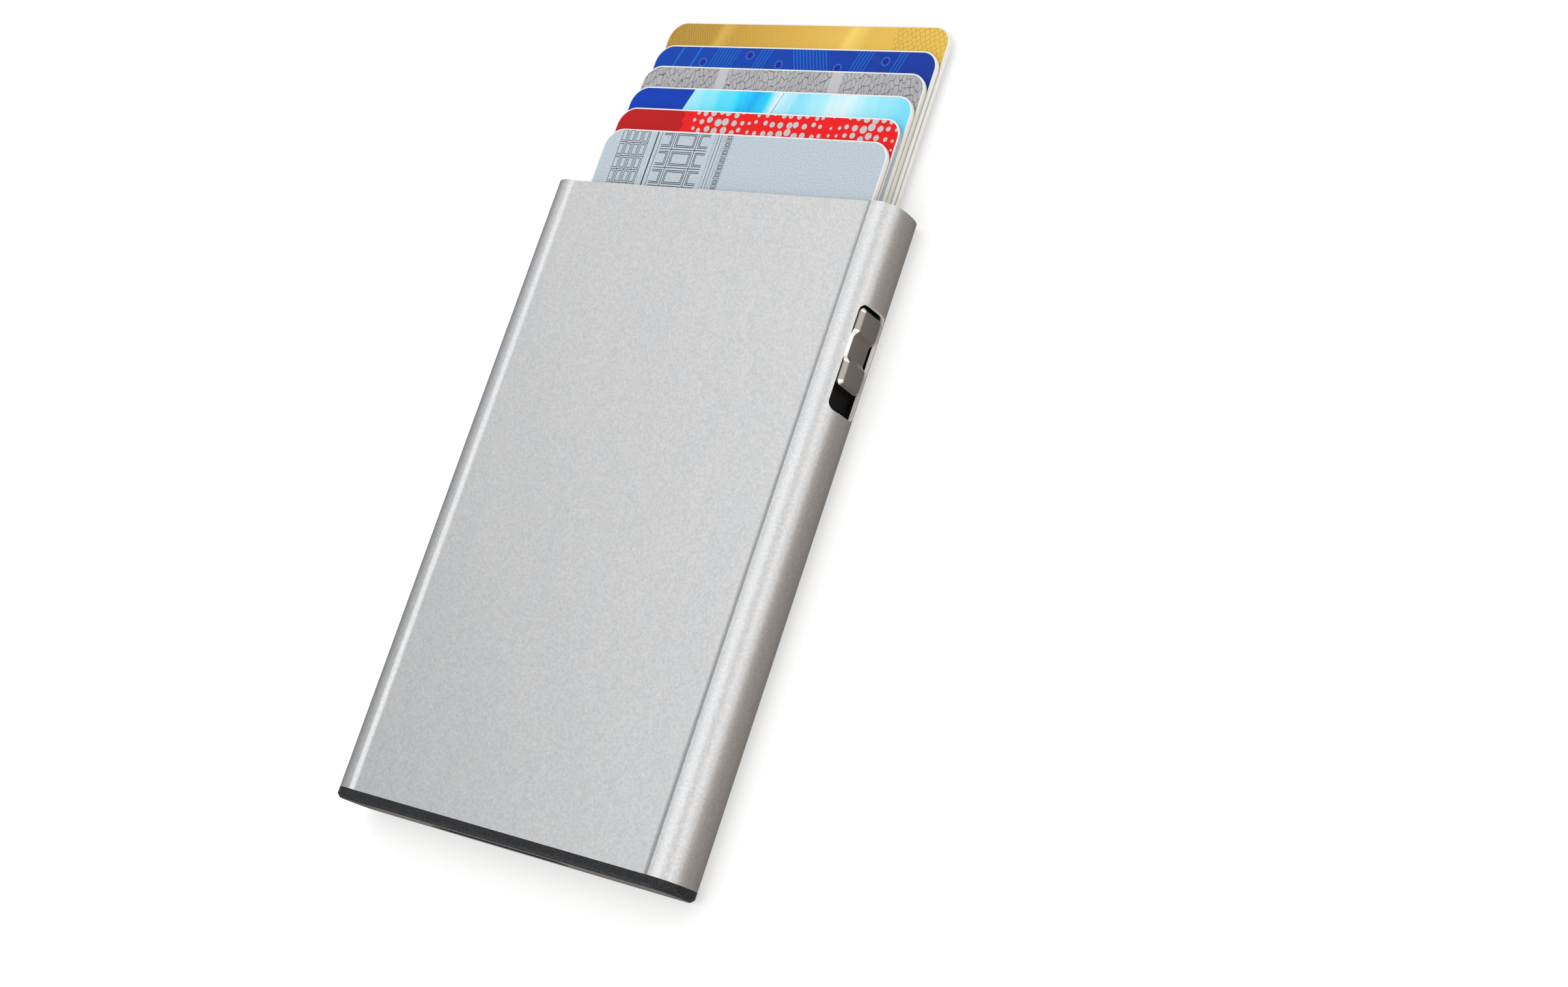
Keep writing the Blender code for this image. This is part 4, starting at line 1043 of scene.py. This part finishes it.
def trace_print(tree, face, across, down):
    """Royal blue with groups of thin lighter traces and a few small rings."""
    upright = slanted(tree, across, down, 0.32)
    leaning = slanted(tree, across, down, -0.42)
    groups = either(
        tree, within(tree, upright, 12.2, 16.8), within(tree, upright, 20.6, 23.3),
        within(tree, upright, 39.3, 42.4), within(tree, upright, 46.6, 48.8),
    )
    traces = both(tree, ruled(tree, upright, 0.62, 0.2), groups)
    sloping = column(tree, leaning, ruled(tree, leaning, 0.62, 0.2), 26.5, 33.4)
    loose = either(tree, within(tree, upright, 5.1, 5.45), within(tree, upright, 8.6, 9.0))
    places = ((9.9, 2.9), (18.8, 1.5), (24.9, 3.0), (44.6, 1.9), (10.9, 6.4), (36.2, 3.3))
    rings = either(tree, *[ring(tree, face, x, y, RING_INNER, RING_OUTER) for x, y in places])
    centres = either(tree, *[ring(tree, face, x, y, -RING_INNER, RING_INNER) for x, y in places])
    clear = either(tree, *[ring(tree, face, x, y, -RING_OUTER, RING_OUTER) for x, y in places])
    lines = both(tree, either(tree, traces, sloping, loose), maths(tree, "SUBTRACT", 1.0, clear))
    ground = fade(
        tree, across, (0, (0.003, 0.060, 0.43)), (26, (0.004, 0.056, 0.43)),
        (54, (0.008, 0.040, 0.34)),
    )
    drawn = maths(tree, "MULTIPLY", either(tree, lines, rings), 0.62)
    colour = mix(tree, drawn, ground, (0.02, 0.20, 0.72, 1))
    return mix(tree, centres, colour, (0.02, 0.02, 0.27, 1))


def gold_print(tree, face, across, down):
    """Gold with fine slanting strokes, lighter bands and a fine net at the right."""
    turned = mapped(tree, face, (1, 1, 1), turn=0.42)
    values = {"Vector": turned, "Scale": 0.95, "Distortion": 5.0, "Detail": 2.0, "Detail Scale": 1.3}
    strokes = add_node(tree, "ShaderNodeTexWave", values, bands_direction="X").outputs["Fac"]
    place = slanted(tree, across, down, 0.3)
    base = fade(
        tree, place, (0, (0.36, 0.18, 0.015)), (10, (0.44, 0.24, 0.02)), (11.5, (0.66, 0.40, 0.07)),
        (14, (0.52, 0.29, 0.03)), (28, (0.70, 0.42, 0.06)), (35, (0.78, 0.50, 0.09)),
        (36.5, (0.94, 0.68, 0.14)), (40, (0.76, 0.47, 0.07)), (55, (0.82, 0.53, 0.08)),
    )
    lit = mix(tree, maths(tree, "MULTIPLY", strokes, 0.36), base, (0.88, 0.63, 0.19, 1))
    net = cells(tree, mapped(tree, face, (1.0, 0.8, 1), turn=0.5), 1.4, 0.45, "DISTANCE_TO_EDGE")
    knots = both(tree, maths(tree, "LESS_THAN", net, 0.06), maths(tree, "GREATER_THAN", across, 44.0))
    return mix(tree, maths(tree, "MULTIPLY", knots, 0.55), lit, (0.34, 0.18, 0.03, 1))


CARD_PRINTS = (silver_print, red_print, sky_print, loop_print, trace_print, gold_print)


def card_print(number):
    """A laminated print, laid out in millimetres from the card's left and top edges."""
    material, tree, shader, place = new_material(f"card_{number}_print", roughness=0.42)
    shader.inputs["Specular IOR Level"].default_value = PRINT_GLOSS
    low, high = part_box(f"card_{number}")
    face = mapped(tree, place, (1 / MM, -1 / MM, 0), (-low.x / MM, high.y / MM, 0))
    colour = CARD_PRINTS[number - 1](tree, face, *split_place(tree, face))
    tree.links.new(colour, shader.inputs["Base Color"])
    return material


def card_back():
    """A pale back with the dark magnetic stripe that such cards have along one long side."""
    material, tree, shader, place = new_material("card_back", roughness=0.4)
    across = split_place(tree, mapped(tree, place, (1 / MM, 1 / MM, 1 / MM)))[0]
    cloud = noise(tree, place, SHEET_GRAIN, 2.0)
    ground = mix(tree, cloud, (0.66, 0.66, 0.64, 1), (0.74, 0.74, 0.72, 1))
    stripe = within(tree, across, 9.5, 19.0)
    tint(tree, shader, stripe, ground, (0.025, 0.022, 0.022, 1))
    return material


def dress(piece, *materials):
    """Gives a piece its finishes, with the places that its faces already have."""
    if piece.data.materials:
        piece.data.materials.clear()
    for material in materials:
        piece.data.materials.append(material)


def background_rays(tree):
    """One for rays that see the background: from the camera, mirrored or passed through."""
    path = add_node(tree, "ShaderNodeLightPath")
    seen = maths(tree, "MAXIMUM", path.outputs["Is Camera Ray"], path.outputs["Is Glossy Ray"])
    return maths(tree, "MAXIMUM", seen, path.outputs["Is Transmission Ray"])


def make_world():
    world = bpy.data.worlds.new("studio")
    world.use_nodes = True
    bpy.context.scene.world = world
    tree = world.node_tree
    tree.nodes.clear()
    level = maths(tree, "MAXIMUM", background_rays(tree), STUDIO_LEVEL)
    light = add_node(tree, "ShaderNodeBackground", {"Color": (1, 1, 1, 1), "Strength": level})
    add_node(tree, "ShaderNodeOutputWorld", {"Surface": light.outputs[0]})


def make_floor():
    """A wide pale floor that keeps the shadow and shows white elsewhere."""
    bpy.ops.object.select_all(action="DESELECT")
    bpy.ops.mesh.primitive_plane_add(size=FLOOR_SIZE, location=(0, 0, -FLOOR_DROP))
    floor = bpy.context.object
    floor.name = "floor"
    material, tree, shader = new_material("pale_floor", roughness=0.9)[:3]
    shader.inputs["Base Color"].default_value = FLOOR_TONE
    shader.inputs["Specular IOR Level"].default_value = 0
    shader.inputs["Emission Color"].default_value = (1, 1, 1, 1)
    lift = maths(tree, "MULTIPLY", background_rays(tree), FLOOR_LIFT)
    tree.links.new(lift, shader.inputs["Emission Strength"])
    dress(floor, material)


def make_lamp(name, place, width, length, radiance, colour):
    """A rectangular softbox that shines on the holder at this radiance."""
    data = bpy.data.lights.new(name, "AREA")
    data.shape = "RECTANGLE"
    data.size = width
    data.size_y = length
    data.color = colour
    data.energy = radiance * math.pi * width * length
    lamp = bpy.data.objects.new(name, data)
    back = Vector(place).normalized()
    across = Vector((0, 1, 0)).cross(back).normalized()
    turn = Matrix((across, back.cross(across), back)).transposed().to_4x4()
    lamp.matrix_world = Matrix.Translation(place) @ turn
    bpy.context.scene.collection.objects.link(lamp)


def make_flag(name, low, high, shades, colour, axis=0, tilt=0):
    """A grey studio panel that only reflections see, with its shade running along one axis."""
    bpy.ops.object.select_all(action="DESELECT")
    middle = [(a + b) / 2 for a, b in zip(low, high)]
    bpy.ops.mesh.primitive_cube_add(size=1, location=middle, scale=[b - a for a, b in zip(low, high)])
    flag = bpy.context.object
    flag.name = name
    flag.rotation_euler.x = tilt
    material = bpy.data.materials.new(name)
    material.use_nodes = True
    tree = material.node_tree
    tree.nodes.clear()
    place = add_node(tree, "ShaderNodeTexCoord").outputs["Object"]
    along = add_node(tree, "ShaderNodeSeparateXYZ", {0: place}).outputs[axis]
    across = maths(tree, "MULTIPLY_ADD", along, 1 / (high[axis] - low[axis]), 0.5)
    share = maths(tree, "POWER", across, FLAG_FADE)
    shade = maths(tree, "MULTIPLY_ADD", share, shades[1] - shades[0], shades[0])
    glow = add_node(tree, "ShaderNodeEmission", {"Color": colour, "Strength": shade})
    add_node(tree, "ShaderNodeOutputMaterial", {"Surface": glow.outputs[0]})
    dress(flag, material)
    flag.visible_camera = False
    flag.visible_diffuse = False
    flag.visible_shadow = False
    flag.visible_transmission = False


def make_camera():
    data = bpy.data.cameras.new("camera")
    data.sensor_width = SENSOR_WIDTH
    data.lens = CAMERA_LENS
    data.clip_start = CAMERA_NEAR
    data.clip_end = CAMERA_FAR
    camera = bpy.data.objects.new("camera", data)
    right = Vector(CAMERA_RIGHT).normalized()
    up = Vector(CAMERA_UP)
    back = right.cross(up).normalized()
    up = back.cross(right)
    turn = Matrix((right, up, back)).transposed().to_4x4()
    camera.matrix_world = Matrix.Translation(CAMERA_PLACE) @ turn
    bpy.context.scene.collection.objects.link(camera)
    bpy.context.scene.camera = camera


make_camera()
make_world()
make_floor()
make_lamp("overhead_softbox", (-0.075, 0.0, 0.55), 0.37, 0.9, 0.43, COOL_LIGHT)
make_lamp("right_softbox", (0.50, 0.05, 0.26), 0.28, 0.9, 0.32, WARM_LIGHT)
make_flag("left_flag", (-0.42, -0.6, -0.1), (-0.40, 0.6, 0.35), (0.20, 0.62), COOL_GREY, 2, -42 * DEG)
make_flag("left_floor_flag", (-0.40, -0.4, 0.0), (-0.0315, 0.4, 0.0002), (0.34, 0.26), COOL_GREY)
make_flag("right_flag", (0.0312, -0.4, 0.0), (0.085, 0.4, 0.0002), (0.18, 0.95), WARM_GREY)

ALUMINIUM = blasted_aluminium()
MILLED = milled_aluminium()
BUTTON_METAL = button_aluminium()
# Bright cut metal, also a painted highlight on the button's front corners.
BRIGHT_CUT_AND_HIGHLIGHT = bright_cut_and_highlight()
# The cap's pale bluish flecks are painted glints on its grain.
CAP_PLASTIC = grained_plastic(
    "cap_plastic", (0.006, 0.0063, 0.0075, 1), (0.13, 0.135, 0.15, 1), CAP_GRAIN, 0.02 * MM,
)
# A brownish grey for the cap's bottom face: a painted sheen in place of its grazing reflection.
CAP_BOTTOM_SHEEN = grained_plastic(
    "cap_bottom_painted_sheen", (0.085, 0.068, 0.06, 1), (0.13, 0.11, 0.10, 1), MOULD_GRAIN, 0.004 * MM, 0.6,
)
INNER_PLASTIC = grained_plastic(
    "inner_plastic", (0.003, 0.003, 0.003, 1), (0.012, 0.012, 0.012, 1), MOULD_GRAIN, 0.01 * MM, 0.7,
)
LEVER_PLASTIC = grained_plastic(
    "lever_plastic", (0.08, 0.08, 0.09, 1), (0.12, 0.12, 0.13, 1), MOULD_GRAIN, 0.006 * MM,
)
STEEL = smooth_steel()
FELT = felt()
WHITE_EDGE = card_plain("card_white_edge", (0.88, 0.88, 0.87, 1))
CARD_BACK = card_back()

dress(make_sleeve(), ALUMINIUM, MILLED)
dress(make_cap(), CAP_PLASTIC, CAP_BOTTOM_SHEEN)
dress(make_button(), BUTTON_METAL, BRIGHT_CUT_AND_HIGHLIGHT)
for number in range(1, CARD_COUNT + 1):
    card = make_card(number)
    side = card_plain(f"card_{number}_side", SIDE_TONES[number - 1])
    dress(card, card_print(number), WHITE_EDGE, side, CARD_BACK)

dress(make_finer("chassis", "inner_frame", "case", "black_plastic", EDGE_BREAK), INNER_PLASTIC)
dress(make_finer("button_carrier", "button_slide", "button", "black_plastic", EDGE_BREAK), INNER_PLASTIC)
dress(make_finer("ejector_arm", "stepped_lever", "ejector", "lever_plastic", EDGE_BREAK), LEVER_PLASTIC)
dress(make_finer("pivot_pin", "lever_pin", "case", "steel", PIN_EDGE), STEEL)
dress(make_finer("latch_pin", "pawl_pin", "case", "steel", PIN_EDGE), STEEL)
dress(make_finer("latch_pawl", "pawl", "latch", "steel", PAWL_EDGE), STEEL)
dress(make_release_rod(), STEEL)
dress(make_ejector_spring(), STEEL)
dress(make_button_spring(), STEEL)
dress(make_latch_spring(), STEEL)
dress(make_brake_leaf(), STEEL)
dress(make_felt_strip(), FELT)
for number, node in enumerate(("button_screw_upper", "button_screw_lower"), 1):
    dress(make_screw(number, node), STEEL)

bpy.context.scene.view_settings.view_transform = "Standard"
